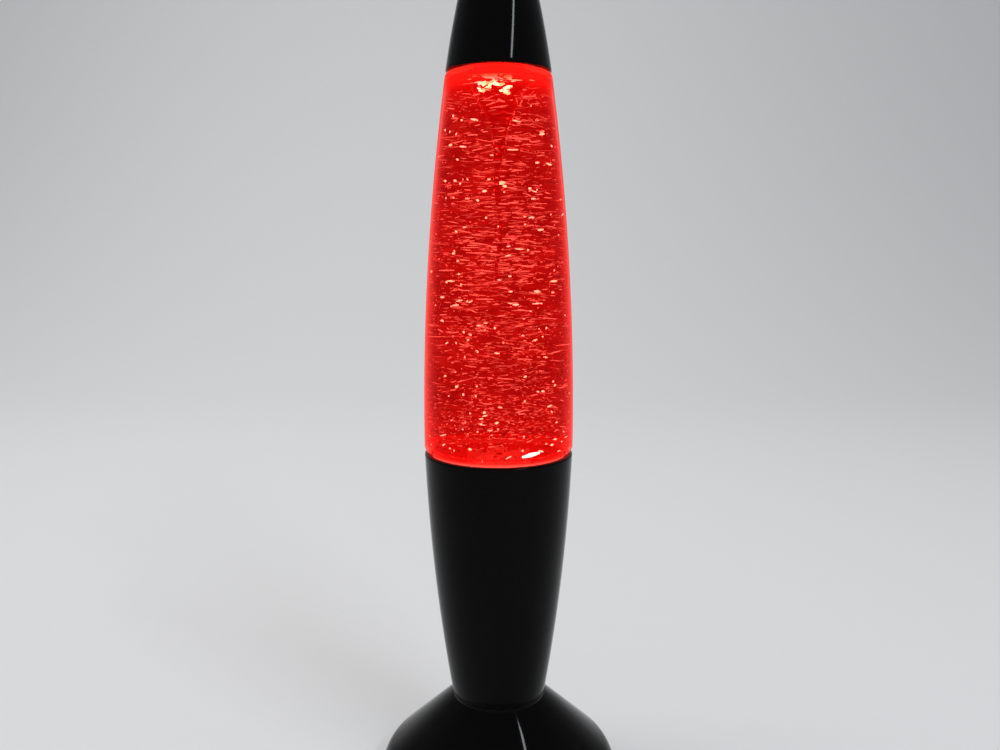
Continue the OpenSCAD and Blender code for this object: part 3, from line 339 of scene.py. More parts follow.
DRAWN_METAL.links.new(lines, gives["Height"])


def metal(name, colour, gloss, grain=3000.0, tone=0.12, depth=0.000004):
    """Drawn or plated metal."""
    values = {"Colour": (*colour, 1), "Tone": tone, "Grain": grain, "Gloss": gloss}
    return skinned(name, DRAWN_METAL, values, depth, Metallic=1.0)


def coat(material, *nodes):
    """Gives solids of the fixed frame their material."""
    for name in nodes:
        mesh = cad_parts[name].data
        mesh.materials.clear()
        mesh.materials.append(material)


screw_zinc = metal("screw_zinc", (0.5, 0.51, 0.53), gloss=0.26)
case_screws = eased("case_screws", "cover_screws", screw_zinc, width=0.00012)
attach(case_screws, "base")
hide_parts("cover_screws")
coat(screw_zinc, "waist_screws", "bracket_screws", "motor_screws", "board_screws")

# Battery bay: three round cells in plain shrink wrap, with contact plates and conical springs of
# plated steel at their ends.
cell_wrap = moulded("cell_wrap", (0.07, 0.13, 0.17), gloss=0.3, grain=900.0, tone=0.2, scuff=0.2,
                    Coat_Weight=0.3)
contact_steel = metal("contact_steel", (0.62, 0.63, 0.65), gloss=0.22)
coat(cell_wrap, "cells")
coat(contact_steel, "battery_springs", "battery_contacts")

# Foot: a domed black shell, moulded in high gloss. Its flank runs straight down from a sharp
# waist and rolls over into the edge. The rear is cut out for the panel.
MM, ON_AXIS = 0.001, 1e-6
FOOT_R, WAIST_R, WAIST_Z, SHELL_Z, WAIST_LAND = 51.75, 20.15, 41.9, 1.5, 1
FOOT_ROLL, FOOT_ROLL_R, FOOT_WALL = (37.75, 5.5), 14.0, 2.2
FOOT_ROOF_Z, LEAD_HOLE_R, LIP_R, FOOT_CREASE = 39.4, 4.5, 0.5, 20
PANEL_CUT = ((-14.3, 29.5, 3.9), (14.3, 60.0, 14.7))


def arc(centre, r, start, end, steps=12):
    """Points of a rounded edge, by angles in degrees."""
    turns = [math.radians(start + (end - start) * i / steps) for i in range(steps + 1)]
    return [(centre[0] + r * math.cos(a), centre[1] + r * math.sin(a)) for a in turns]


def turned(outline, segments=160):
    """Closed mesh turned on the lamp's axis from an outline of (radius, height), in millimetres."""
    bm = bmesh.new()
    rings = []
    for r, z in outline:
        if r < ON_AXIS:
            rings.append([bm.verts.new((0, 0, z * MM))] * segments)
            continue
        turns = [2 * math.pi * k / segments for k in range(segments)]
        rings.append([bm.verts.new((r * MM * math.cos(a), r * MM * math.sin(a), z * MM)) for a in turns])
    for low, high in zip(rings, rings[1:] + rings[:1]):
        for k in range(segments):
            n = (k + 1) % segments
            corners = list(dict.fromkeys((low[k], low[n], high[n], high[k])))
            if len(corners) > 2:
                bm.faces.new(corners)
    bmesh.ops.recalc_face_normals(bm, faces=bm.faces)
    return bm


def block(low, high):
    """Closed box between two corners, in millimetres."""
    bm = bmesh.new()
    bmesh.ops.create_cube(bm, size=1)
    for v in bm.verts:
        v.co = [(a if c < 0 else b) * MM for a, b, c in zip(low, high, v.co)]
    return bm


def cut(piece, tool, operation):
    """Takes a tool's shape off a piece, or adds it."""
    step = piece.modifiers.new("cut", "BOOLEAN")
    step.operation = operation
    step.solver = "EXACT"
    step.object = tool
    settle(piece)
    bpy.data.objects.remove(tool)
    return piece


def shell_gloss(name):
    """The black of the outer shells: polished in the mould, with hardly a mark on it."""
    return moulded(name, (0.002, 0.0017, 0.0018), gloss=0.05, grain=950.0, tone=0.25, scuff=0.03,
                   depth=0.000003, IOR=1.4, Specular_IOR_Level=0.09)


run = (FOOT_ROLL[0] - WAIST_R, FOOT_ROLL[1] - WAIST_Z + WAIST_LAND)
flank = math.degrees(math.atan2(run[1], run[0]) + math.asin(FOOT_ROLL_R / math.hypot(*run)))
inner_roll = arc(FOOT_ROLL, FOOT_ROLL_R - FOOT_WALL, 0, 90 + flank, steps=18)
roof_r = inner_roll[-1][0] + (FOOT_ROOF_Z - inner_roll[-1][1]) / math.tan(math.radians(flank))
foot_outline = (
    [(WAIST_R, WAIST_Z), (WAIST_R, WAIST_Z - WAIST_LAND)]
    + arc(FOOT_ROLL, FOOT_ROLL_R, 90 + flank, 0, steps=22)
    + arc((FOOT_R - LIP_R, SHELL_Z + LIP_R), LIP_R, 0, -90, steps=4)
    + [(FOOT_R - FOOT_WALL, SHELL_Z)]
    + inner_roll
    + [(roof_r, FOOT_ROOF_Z), (LEAD_HOLE_R, FOOT_ROOF_Z), (LEAD_HOLE_R, WAIST_Z)]
)
foot_black = shell_gloss("foot_black")
foot = piece_of("foot_shell", turned(foot_outline), foot_black, FOOT_CREASE)
cut(foot, piece_of("panel_tool", block(*PANEL_CUT), foot_black), "DIFFERENCE")
creased(foot.data, FOOT_CREASE)
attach(foot, "base")
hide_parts("base_foot")

# Rear panel: a grained insert in the back of the foot, with a round push button and a flat
# low-voltage socket. Switch and socket stand on a small board behind it.
panel = eased("control_panel", "rear_panel", cover_black, width=0.0002)
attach(panel, "base")
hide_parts("rear_panel")
button_black = moulded("button_black", (0.028, 0.028, 0.031), gloss=0.3, grain=2600.0)
button = eased("push_button", "power_button", button_black, width=0.0005)
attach(button, "button")
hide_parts("power_button")
socket_steel = metal("socket_steel", (0.6, 0.61, 0.63), gloss=0.2, grain=4200.0)
inlet = eased("inlet_shell", "power_socket", socket_steel, width=0.00006)
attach(inlet, "base")
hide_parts("power_socket")
dark_plastic = moulded("dark_plastic", (0.03, 0.03, 0.033), gloss=0.42)
coat(dark_plastic, "switch_body", "socket_tongue", "motor_end_cap")


def board(name, mask, copper, gloss):
    """Circuit board: a lacquered sheet with tracks showing through as a pattern of straight runs."""
    made = moulded(name, mask, gloss, grain=3000.0, tone=0.05, scuff=0.04)
    tree, shader = nodes_of(made)
    tracks = add(tree, "ShaderNodeTexBrick", {
        "Vector": place_in(tree), "Color1": (*mask, 1), "Color2": (*mask, 1), "Mortar": (*copper, 1),
        "Scale": 190.0, "Mortar Size": 0.05, "Mortar Smooth": 0.2, "Brick Width": 0.9, "Row Height": 0.5,
    })
    tree.links.new(tracks.outputs["Color"], shader.inputs["Base Color"])
    return made


coat(board("board_green", (0.012, 0.11, 0.05), (0.03, 0.2, 0.08), gloss=0.28), "control_board")

# Column: a black shell in high gloss that widens from the waist to the rim. Three screws through
# the foot's roof hold it, and its bosses carry the drive plate.
RIM_R, RIM_Z, COLUMN_BOW, COLUMN_WALL, RIM_ROUND = 31.2, 149.0, 1.7, 2.0, 0.8
COLUMN_FLOOR_Z, PLATE_Z, SHELL_CREASE = 44.4, 120.4, 25
BOSS_R, BOSS_H, WAIST_BOSS_R, PLATE_BOSS_R = 3.15, 9.0, 12.65, 24.3
WAIST_BOSSES, PLATE_BOSSES = (30, 150, 270), (90, 210, 330)


def bowed(r0, r1, bow, t):
    """Radius of a bowed side at share t of its height."""
    return r0 + (r1 - r0) * t + 4 * bow * t * (1 - t)


def side(r0, z0, r1, z1, bow, steps=48):
    """Points of a bowed side, from its lower end to its upper one."""
    shares = [i / steps for i in range(steps + 1)]
    return [(bowed(r0, r1, bow, t), z0 + (z1 - z0) * t) for t in shares]


def levels(low, high, steps):
    """Heights at even steps."""
    return [low + (high - low) * i / steps for i in range(steps + 1)]


def post(r, h, middle, segments):
    """Closed upright rod about its middle, in millimetres."""
    bm = bmesh.new()
    bmesh.ops.create_cone(bm, segments=segments, radius1=r * MM, radius2=r * MM, depth=h * MM, cap_ends=True)
    bmesh.ops.translate(bm, vec=Vector(middle) * MM, verts=bm.verts)
    return bm


def column_r(z):
    """Outer radius of the column at a height."""
    return bowed(WAIST_R, RIM_R, COLUMN_BOW, (z - WAIST_Z) / (RIM_Z - WAIST_Z))


column_outline = (
    [(LEAD_HOLE_R, WAIST_Z)]
    + side(WAIST_R, WAIST_Z, RIM_R, RIM_Z - RIM_ROUND, COLUMN_BOW)
    + arc((RIM_R - RIM_ROUND, RIM_Z - RIM_ROUND), RIM_ROUND, 0, 90, steps=8)[1:]
    + [(column_r(z) - COLUMN_WALL, z) for z in reversed(levels(COLUMN_FLOOR_Z, RIM_Z, steps=40))]
    + [(LEAD_HOLE_R, COLUMN_FLOOR_Z)]
)
column_black = shell_gloss("column_black")
column = piece_of("column_shell", turned(column_outline), column_black, SHELL_CREASE)
for degrees in sorted(WAIST_BOSSES + PLATE_BOSSES):
    if degrees in WAIST_BOSSES:
        r, z = WAIST_BOSS_R, WAIST_Z + WAIST_LAND
    else:
        r, z = PLATE_BOSS_R, PLATE_Z - BOSS_H
    turn = math.radians(degrees)
    boss = post(BOSS_R, BOSS_H, (r * math.cos(turn), r * math.sin(turn), z + BOSS_H / 2), segments=32)
    cut(column, piece_of("boss_tool", boss, column_black), "UNION")
creased(column.data, SHELL_CREASE)
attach(column, "base")
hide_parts("base_column")

# Drive: a small direct-current motor hangs under a pale plate, and its shaft turns a disc with
# two magnets close under the bottle.
white_plastic = moulded("white_plastic", (0.74, 0.73, 0.69), gloss=0.38, tone=0.05, scuff=0.06)
coat(white_plastic, "motor_bracket", "magnet_carrier")
coat(metal("motor_steel", (0.58, 0.59, 0.61), gloss=0.24), "motor_can", "motor_shaft")
coat(metal("terminal_brass", (0.7, 0.5, 0.2), gloss=0.25), "motor_terminals")
ferrite_grey = moulded("ferrite_grey", (0.06, 0.056, 0.052), gloss=0.6, grain=4000.0, depth=0.00003)
coat(ferrite_grey, "stator_magnet")
winding_copper = metal("winding_copper", (0.62, 0.28, 0.13), gloss=0.3, grain=2400.0, depth=0.00004)
coat(winding_copper, "motor_armature")
magnet_nickel = metal("magnet_nickel", (0.64, 0.63, 0.6), gloss=0.14, grain=1800.0)
coat(magnet_nickel, "drive_magnets", "stirrer_magnets")

# Light: a white ring board with six diodes under a clear window, inside a white reflector. A
# soft foam ring on the window carries the bottle.
UNLIT, DIODE_LIGHT = (0.0, 0.0, 0.0, 1), (1.0, 0.16, 0.09, 1)
LENS_H, LENS_FADE = 0.0006, 0.0003


def height_in(tree, place):
    """How high a point of the surface lies."""
    return add(tree, "ShaderNodeSeparateXYZ", {0: place}).outputs["Z"]


def mix(tree, share, one, other):
    """A colour that goes from one to the other as the share grows."""
    return add(tree, "ShaderNodeMix", {0: share, 6: one, 7: other}, data_type="RGBA").outputs[2]


def lit(tree, shader, colour, strength=1.0):
    """Gives a surface a light of its own, in a colour that changes over it."""
    tree.links.new(colour, shader.inputs["Emission Color"])
    set_plain(shader, Emission_Strength=strength)


coat(board("board_white", (0.74, 0.74, 0.72), (0.6, 0.59, 0.55), gloss=0.35), "lamp_board")
coat(moulded("reflector_white", (0.82, 0.82, 0.8), gloss=0.2, tone=0.03, scuff=0.05), "reflector")
seat_foam = moulded("seat_foam", (0.045, 0.045, 0.05), gloss=0.9, grain=1500.0, tone=0.3, depth=0.0002)
coat(seat_foam, "seat_ring")
diode_lens = moulded("diode_lens", (0.9, 0.62, 0.55), gloss=0.2, tone=0.05)
tree, shader = nodes_of(diode_lens)
lens_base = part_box("diodes")[1].z - LENS_H
lens = ramp(tree, height_in(tree, place_in(tree)), lens_base - LENS_FADE, lens_base)
lit(tree, shader, mix(tree, lens, UNLIT, DIODE_LIGHT), strength=3.0)
coat(diode_lens, "diodes")
window_clear = moulded("window_clear", (0.96, 0.96, 0.96), gloss=0.05, tone=0.02, scuff=0.12,
                       Transmission_Weight=1.0, IOR=1.49)
coat(window_clear, "light_window")

# Leads: stranded wire in soft plastic, laid by hand from the board in the foot up to the motor
# and the lamp board, and to the cells.
coat(moulded("lead_red", (0.4, 0.012, 0.014), gloss=0.4, grain=1400.0), "red_leads")
coat(moulded("lead_black", (0.014, 0.014, 0.015), gloss=0.4, grain=1400.0), "black_leads")

# Bottle: thick clear plastic, blown with a rounded shoulder at both ends. Its spigot drops into
# the column's rim, and a neck on top takes the closure.
SLIP, SPIGOT_Z, TOP_Z, BOTTLE_WALL, SPIGOT_SLIP = 0.3, 136.0, 303.2, 2.2, 0.4
BOTTLE_LOW_R, BOTTLE_TOP_R, BOTTLE_BOW, TOP_ROUND = 31.3, 21.6, 2.7, 2.2
NECK_R, NECK_BORE_R, NECK_TOP, FLOOR_TOP = 12.18, 10.18, 320.2, 138.2
SPIGOT_ROUND, NECK_FILLET, NECK_EDGE, FLOOR_EDGE = 0.8, 0.6, 0.3, 1
SPIGOT_R = column_r(SPIGOT_Z) - COLUMN_WALL - SPIGOT_SLIP
LOW_ROUND = BOTTLE_LOW_R - SPIGOT_R
LOW_Z, HIGH_Z = RIM_Z + SLIP + LOW_ROUND, TOP_Z - TOP_ROUND
INNER_ROUND = LOW_ROUND - BOTTLE_WALL


def bottle_in_r(z):
    """Inner radius of the bottle at a height."""
    return bowed(BOTTLE_LOW_R, BOTTLE_TOP_R, BOTTLE_BOW, (z - LOW_Z) / (HIGH_Z - LOW_Z)) - BOTTLE_WALL


spigot_in_r = SPIGOT_R - BOTTLE_WALL
bottle_outline = (
    [(0, SPIGOT_Z)]
    + arc((SPIGOT_R - SPIGOT_ROUND, SPIGOT_Z + SPIGOT_ROUND), SPIGOT_ROUND, -90, 0, steps=6)
    + arc((SPIGOT_R, LOW_Z), LOW_ROUND, -90, 0, steps=16)
    + side(BOTTLE_LOW_R, LOW_Z, BOTTLE_TOP_R, HIGH_Z, BOTTLE_BOW, steps=72)[1:]
    + arc((BOTTLE_TOP_R - TOP_ROUND, HIGH_Z), TOP_ROUND, 0, 90, steps=12)[1:]
    + [(NECK_R + NECK_FILLET, TOP_Z), (NECK_R, TOP_Z + NECK_FILLET)]
    + [(NECK_R, NECK_TOP - NECK_EDGE), (NECK_R - NECK_EDGE, NECK_TOP)]
    + [(NECK_BORE_R + NECK_EDGE, NECK_TOP), (NECK_BORE_R, NECK_TOP - NECK_EDGE), (NECK_BORE_R, HIGH_Z)]
    + [(bottle_in_r(z), z) for z in reversed(levels(LOW_Z, HIGH_Z, steps=60))]
    + arc((SPIGOT_R, LOW_Z), INNER_ROUND, 0, -90, steps=8)
    + [(spigot_in_r, LOW_Z - INNER_ROUND), (spigot_in_r, FLOOR_TOP + FLOOR_EDGE)]
    + [(spigot_in_r - FLOOR_EDGE, FLOOR_TOP), (0, FLOOR_TOP)]
)

# The lamp's light runs up in the wall and is painted on it: as a glow at both ends and where the wall is
# seen edge on, and as a deeper red at the top and edge on. Each range says where the light begins and where
# it is full, by height or by slant.
TOP_LIGHT, RIM_LIGHT, SPIGOT_LIGHT = (0.2945, 0.2985), (0.1506, 0.1496), (0.1485, 0.1478)
EDGE_RED_LIGHT, EDGE_LIGHT, WALL_RED_LIGHT = (0.58, 0.78), (0.47, 0.73), (0.88, 0.03, 0.02, 1)
# The wall is clear: its pale red all over and its red sheen at the edges are painted red light.
bottle_clear = moulded("bottle_clear", (0.98, 0.4, 0.39), gloss=0.004, grain=60.0, tone=0.02, scuff=0.01,
                       Transmission_Weight=1.0, IOR=1.05, Sheen_Weight=1.0, Sheen_Roughness=0.2,
                       Sheen_Tint=(1.0, 0.14, 0.1, 1))
tree, shader = nodes_of(bottle_clear)
height = height_in(tree, place_in(tree))
high, low, spigot = (ramp(tree, height, *span) for span in (TOP_LIGHT, RIM_LIGHT, SPIGOT_LIGHT))
facing = add(tree, "ShaderNodeLayerWeight", {"Blend": 0.5}).outputs["Facing"]
plain_wall = shader.inputs["Base Color"].links[0].from_socket
# Deeper red at the top and where the wall is seen edge on: painted red light.
red_lit_wall = mix(tree, calc(tree, "MAXIMUM", high, ramp(tree, facing, *EDGE_RED_LIGHT)), plain_wall, WALL_RED_LIGHT)
tree.links.new(red_lit_wall, shader.inputs["Base Color"])
piped = mix(tree, ramp(tree, facing, *EDGE_LIGHT), UNLIT, (0.27, 0.008, 0.005, 1))
piped = mix(tree, high, piped, (0.22, 0.01, 0.006, 1))
piped = mix(tree, low, piped, (0.42, 0.08, 0.06, 1))
piped = mix(tree, spigot, piped, (0.28, 0.01, 0.006, 1))
lit(tree, shader, piped)
bottle = piece_of("bottle_shell", turned(bottle_outline, segments=192), bottle_clear, SHELL_CREASE)
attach(bottle, "bottle")
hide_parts("bottle")

# Closure: a screw cap moulded in white plastic, with ribs round its skirt to grip it by. A foam
# disc in it seals the neck. The top cap hides it.
CLOSURE_R, CLOSURE_Z, CLOSURE_TOP, SKIRT_WALL, LID_T = 14.48, 305.2, 322.8, 1.3, 1.6
SKIRT_EDGE, CLOSURE_ROUND, DISH_R, DISH_DEPTH = 0.3, 0.8, 9.0, 0.4
GRIP_R, GRIP_LIFT, GRIP_SHORT = 0.6, 0.6, 1.6
closure_white = moulded("closure_white", (0.78, 0.78, 0.76), gloss=0.36, tone=0.04, scuff=0.08)

# Copies of a pattern set in a ring round the lamp's axis
RING_OF, takes, gives = geometry_tree("ring_of", [
    ("Pattern", "NodeSocketObject", None),
    ("Count", "NodeSocketInt", 30),
    ("Material", "NodeSocketMaterial", None),
])
spots = add(RING_OF, "GeometryNodeMeshLine", {"Count": takes["Count"], "Offset": (0, 0, 0)}).outputs[0]
pattern = add(RING_OF, "GeometryNodeObjectInfo", {0: takes["Pattern"]}).outputs["Geometry"]
turn = calc(RING_OF, "MULTIPLY", add(RING_OF, "GeometryNodeInputIndex").outputs[0], 2 * math.pi)
turn = calc(RING_OF, "DIVIDE", turn, takes["Count"])
way = add(RING_OF, "FunctionNodeAxisAngleToRotation", {0: (0, 0, 1), 1: turn}).outputs[0]
copies = copied(RING_OF, spots, pattern, way)
RING_OF.links.new(painted(RING_OF, copies, takes["Material"]), gives[0])


def ring_of(name, bm, count, material):
    """A ring of copies of a mesh under work."""
    pattern = piece_of("rib_pattern", bm, material)
    made = grown(name, RING_OF, {"Pattern": pattern, "Count": count, "Material": material})
    bpy.data.objects.remove(pattern)
    return made


skirt_r = CLOSURE_R - GRIP_R
dish_z = CLOSURE_TOP - DISH_DEPTH
closure_outline = (
    [(skirt_r - SKIRT_WALL, CLOSURE_Z), (skirt_r - SKIRT_EDGE, CLOSURE_Z), (skirt_r, CLOSURE_Z + SKIRT_EDGE)]
    + arc((skirt_r - CLOSURE_ROUND, CLOSURE_TOP - CLOSURE_ROUND), CLOSURE_ROUND, 0, 90, steps=6)
    + [(DISH_R, CLOSURE_TOP), (DISH_R - DISH_DEPTH, dish_z), (0, dish_z)]
    + [(0, CLOSURE_TOP - LID_T), (skirt_r - SKIRT_WALL, CLOSURE_TOP - LID_T)]
)
closure = piece_of("screw_closure", turned(closure_outline, segments=120), closure_white)
grip_h = CLOSURE_TOP - CLOSURE_Z - GRIP_SHORT
grip = post(GRIP_R, grip_h, (skirt_r, 0, CLOSURE_Z + GRIP_LIFT + grip_h / 2), segments=10)
joined(closure, ring_of("closure_ribs", grip, count=36, material=closure_white))
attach(closure, "bottle")
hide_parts("bottle_closure")
coat(moulded("seal_foam", (0.84, 0.83, 0.78), gloss=0.85, grain=1600.0, depth=0.0001), "closure_seal")

# Stirrer: a moulded disc with four blades and two magnets, free on a steel pin in the bottle's
# floor under a small retaining cap. The light from below shines through it.
# The light shining through the stirrer is painted: a patchy red glow on its surface.
THROUGH_DARK, THROUGH_BRIGHT = (0.26, 0.02, 0.012, 1), (0.46, 0.05, 0.03, 1)
stirrer_white = moulded("stirrer_white", (0.72, 0.7, 0.66), gloss=0.35, tone=0.05)
tree, shader = nodes_of(stirrer_white)
through = noise(tree, place_in(tree), scale=160.0, detail=2.0)
lit(tree, shader, mix(tree, through, THROUGH_DARK, THROUGH_BRIGHT))
coat(stirrer_white, "stirrer", "pin_cap")
coat(metal("pin_steel", (0.66, 0.67, 0.69), gloss=0.16), "pivot_pin")

# Liquid: dyed red and lit from below, so it glows. The whirl draws its surface down into a
# funnel that wavers as it narrows. It reaches a little into the wall, so that no film of air shows.
LEVEL_Z, FUNNEL_R, FUNNEL_TIP_R, FUNNEL_TIP_Z, FUNNEL_POWER = 300.2, 13.0, 0.8, 220.2, 5.5
WALL_OVERLAP, MOUTH_DROP, MOUTH_EDGE, FUNNEL_STEPS, STEP_POWER = 0.15, 1.0, 1.5, 56, 1.6
MENISCUS = ((0.5, 0.5), (1.5, 0.7))
WAVER_DEPTH, LOBE, RIPPLE, DRIFT = 45, 0.1, 0.05, 0.9


def funnel_r(z):
    """Radius of the hollow that the whirl draws down, at a height."""
    share = max(0.0, z - FUNNEL_TIP_Z) / (LEVEL_Z - FUNNEL_TIP_Z)
    return FUNNEL_TIP_R + (FUNNEL_R - FUNNEL_TIP_R) * share**FUNNEL_POWER


def liquid_r(z):
    """Outer radius of the liquid at a height."""
    return bottle_in_r(z) + WALL_OVERLAP


floor_r, floor_z = spigot_in_r + WALL_OVERLAP, FLOOR_TOP - WALL_OVERLAP
level_r, mouth_z = liquid_r(LEVEL_Z), LEVEL_Z - MOUTH_DROP
shares = [(i / FUNNEL_STEPS) ** STEP_POWER for i in range(FUNNEL_STEPS + 1)]
funnel_levels = [mouth_z - (mouth_z - FUNNEL_TIP_Z) * share for share in shares]
liquid_outline = (
    [(0, floor_z), (floor_r - FLOOR_EDGE, floor_z), (floor_r, floor_z + FLOOR_EDGE)]
    + [(floor_r, LOW_Z - INNER_ROUND - WALL_OVERLAP)]
    + arc((SPIGOT_R, LOW_Z), INNER_ROUND + WALL_OVERLAP, -90, 0, steps=6)
    + [(liquid_r(z), z) for z in levels(LOW_Z, LEVEL_Z, steps=60)[1:]]
    + [(level_r - inward, LEVEL_Z - down) for inward, down in MENISCUS]
    + [(FUNNEL_R + MOUTH_EDGE, LEVEL_Z - 0.75)]
    + [(funnel_r(z), z) for z in funnel_levels]
    + [(0, FUNNEL_TIP_Z - 0.5)]
)
liquid_mesh = turned(liquid_outline, segments=128)

# Two broad lobes and three small ripples wind down the wall of the funnel, and its axis drifts
for v in liquid_mesh.verts:
    r, z = math.hypot(v.co.x, v.co.y) / MM, v.co.z / MM
    if z < FUNNEL_TIP_Z - 1 or r > FUNNEL_R + 0.6 or abs(r - funnel_r(z)) > 0.5:
        continue
    depth = min(1.0, (LEVEL_Z - z) / WAVER_DEPTH)
    turn = math.atan2(v.co.y, v.co.x)
    swell = 1 + LOBE * depth * math.sin(2 * turn + 0.33 * z) + RIPPLE * math.sin(3 * turn - 0.5 * z)
    v.co.x = v.co.x * swell + depth * DRIFT * MM * math.sin(0.16 * z + 0.6)
    v.co.y = v.co.y * swell + depth * DRIFT * MM * math.cos(0.13 * z)

# Its glow is painted light, for the lamp's light that it carries: in streaks along the stream, and more
# evenly under the surface and over the rim
STREAM_SCALE, CLOUD_SCALE, STREAK_SHARE, CLOUD_SHARE = (90.0, 90.0, 760.0), 70.0, 0.65, 0.35
STREAK_GLOW = {0.38: (0.105, 0.0, 0.0, 1), 0.5: (0.17, 0.001, 0.001, 1), 0.62: (0.265, 0.005, 0.003, 1)}
END_GLOW, END_SHARE = (0.33, 0.003, 0.002, 1), 0.9
UNDER_SURFACE, OVER_RIM = (0.282, 0.2995), (0.1615, 0.155)
liquid_red = new_material("liquid_red")
tree, shader = nodes_of(liquid_red)
place = place_in(tree)
streaks = noise(tree, stretched(tree, place, STREAM_SCALE), scale=1.0, detail=4.0, distortion=0.4)
cloud = calc(tree, "MULTIPLY", noise(tree, place, CLOUD_SCALE, detail=2.0), CLOUD_SHARE)
tones = add(tree, "ShaderNodeValToRGB", {0: calc(tree, "MULTIPLY_ADD", streaks, STREAK_SHARE, cloud)})
for at, colour in STREAK_GLOW.items():
    tones.color_ramp.elements.new(at).color = colour
tones.color_ramp.elements.remove(tones.color_ramp.elements[0])
tones.color_ramp.elements.remove(tones.color_ramp.elements[-1])
height = height_in(tree, place)
high, low = (ramp(tree, height, *span, top=END_SHARE) for span in (UNDER_SURFACE, OVER_RIM))
lit(tree, shader, mix(tree, calc(tree, "MAXIMUM", high, low), tones.outputs[0], END_GLOW))
set_plain(shader, Base_Color=(0.35, 0.02, 0.017, 1), Specular_Tint=(1.0, 0.1, 0.07, 1),
          Roughness=0.0, IOR=1.14, Transmission_Weight=1.0)
liquid = piece_of("red_liquid", liquid_mesh, liquid_red)
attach(liquid, "swirl")
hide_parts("liquid")

# Glitter: thin foil flakes, carried round by the stream. They lie along it, each with its own lean, catch
# the light from below, and crowd where the whirl opens. The light they catch is painted: each flake glows as
# one of several lit copies of the same foil.
FOIL_SCALE, FOIL_RANGE = 420.0, (0.35, 0.65)


def spark(name, dark, bright, strength):
    """Foil in red light, painted as a glow that changes from flake to flake."""
    made = new_material(name)
    tree, shader = nodes_of(made)
    change = ramp(tree, noise(tree, place_in(tree), FOIL_SCALE, detail=1.0), *FOIL_RANGE)
    shine = mix(tree, change, (*dark, 1), (*bright, 1))
    tree.links.new(shine, shader.inputs["Base Color"])
    lit(tree, shader, shine, strength)
    set_plain(shader, Metallic=0.0, Roughness=0.3)
    return made


STREAM, takes, gives = geometry_tree("glitter_stream", [
    ("Count", "NodeSocketInt", 100),
    ("Seed", "NodeSocketInt", 1),
    ("Low", "NodeSocketFloat", 0.15),
    ("High", "NodeSocketFloat", 0.29),
    ("Crowding", "NodeSocketFloat", 1.0),
    ("Gathering", "NodeSocketFloat", 0.0),
    ("First Turn", "NodeSocketFloat", 0.0),
    ("Last Turn", "NodeSocketFloat", 6.0),
    ("Low Radius", "NodeSocketFloat", 0.028),
    ("High Radius", "NodeSocketFloat", 0.019),
    ("Bow", "NodeSocketFloat", 0.0),
    ("Inner Share", "NodeSocketFloat", 0.3),
    ("Funnel Share", "NodeSocketFloat", 0.0),
    ("Shortest", "NodeSocketFloat", 0.001),
    ("Longest", "NodeSocketFloat", 0.004),
    ("Width", "NodeSocketFloat", 0.0003),
    ("Thickness", "NodeSocketFloat", 0.0001),
    ("Tilt", "NodeSocketFloat", 0.0),
    ("Lean", "NodeSocketFloat", 0.1),
    ("Sway", "NodeSocketFloat", 0.1),
    ("Settling", "NodeSocketFloat", 0.6),
    ("Ember", "NodeSocketMaterial", None),
    ("Coral", "NodeSocketMaterial", None),
    ("Rose", "NodeSocketMaterial", None),
    ("Gold", "NodeSocketMaterial", None),
])

# What is added to the seed, so that each draw for a flake has a sequence of its own
RISE_DRAW, RADIUS_DRAW, TURN_DRAW, LENGTH_DRAW, WIDTH_DRAW = 11, 23, 37, 41, 53
LEAN_DRAW, SWAY_DRAW, ROLL_DRAW, LIGHT_LEVEL_DRAW = 67, 71, 83, 97
HOLLOW_POWER, SETTLING_POWER, LENGTH_POWER = 4.5, 3.0, 2.2
LIGHT_LEVEL_STARTS = {"Coral": 0.3, "Rose": 0.84, "Gold": 0.94}


def flow(operation, *terms):
    """The result of one sum in the stream's tree."""
    return calc(STREAM, operation, *terms)


def vector(x, y, z):
    return add(STREAM, "ShaderNodeCombineXYZ", {0: x, 1: y, 2: z}).outputs[0]


def chance(draw, low=0.0, high=1.0):
    """A random number for each flake, of its own sequence."""
    given = {2: low, 3: high, "Seed": flow("ADD", takes["Seed"], float(draw))}
    return add(STREAM, "FunctionNodeRandomValue", given, data_type="FLOAT").outputs[1]


def between(low, high, share):
    """A value at a share of the way from low to high."""
    return flow("MULTIPLY_ADD", flow("SUBTRACT", high, low), share, low)


# Where each flake is: its share of the height, then its distance from the axis and its turn
drawn = flow("POWER", chance(RISE_DRAW), takes["Crowding"])
wave = flow("SINE", flow("MULTIPLY", drawn, 2 * math.pi))
rise = flow("MULTIPLY_ADD", flow("MULTIPLY", takes["Gathering"], wave), 0.5 / math.pi, drawn)
fall = flow("SUBTRACT", 1.0, rise)
level = between(takes["Low"], takes["High"], rise)
bulge = flow("MULTIPLY", flow("MULTIPLY", rise, fall), flow("MULTIPLY", takes["Bow"], 4.0))
reach = flow("ADD", between(takes["Low Radius"], takes["High Radius"], rise), bulge)
opening = flow("POWER", rise, HOLLOW_POWER)
hollow = flow("MULTIPLY_ADD", opening, takes["Funnel Share"], takes["Inner Share"])
spread = flow("SQRT", between(flow("MULTIPLY", hollow, hollow), 1.0, chance(RADIUS_DRAW)))
angle = between(takes["First Turn"], takes["Last Turn"], chance(TURN_DRAW))

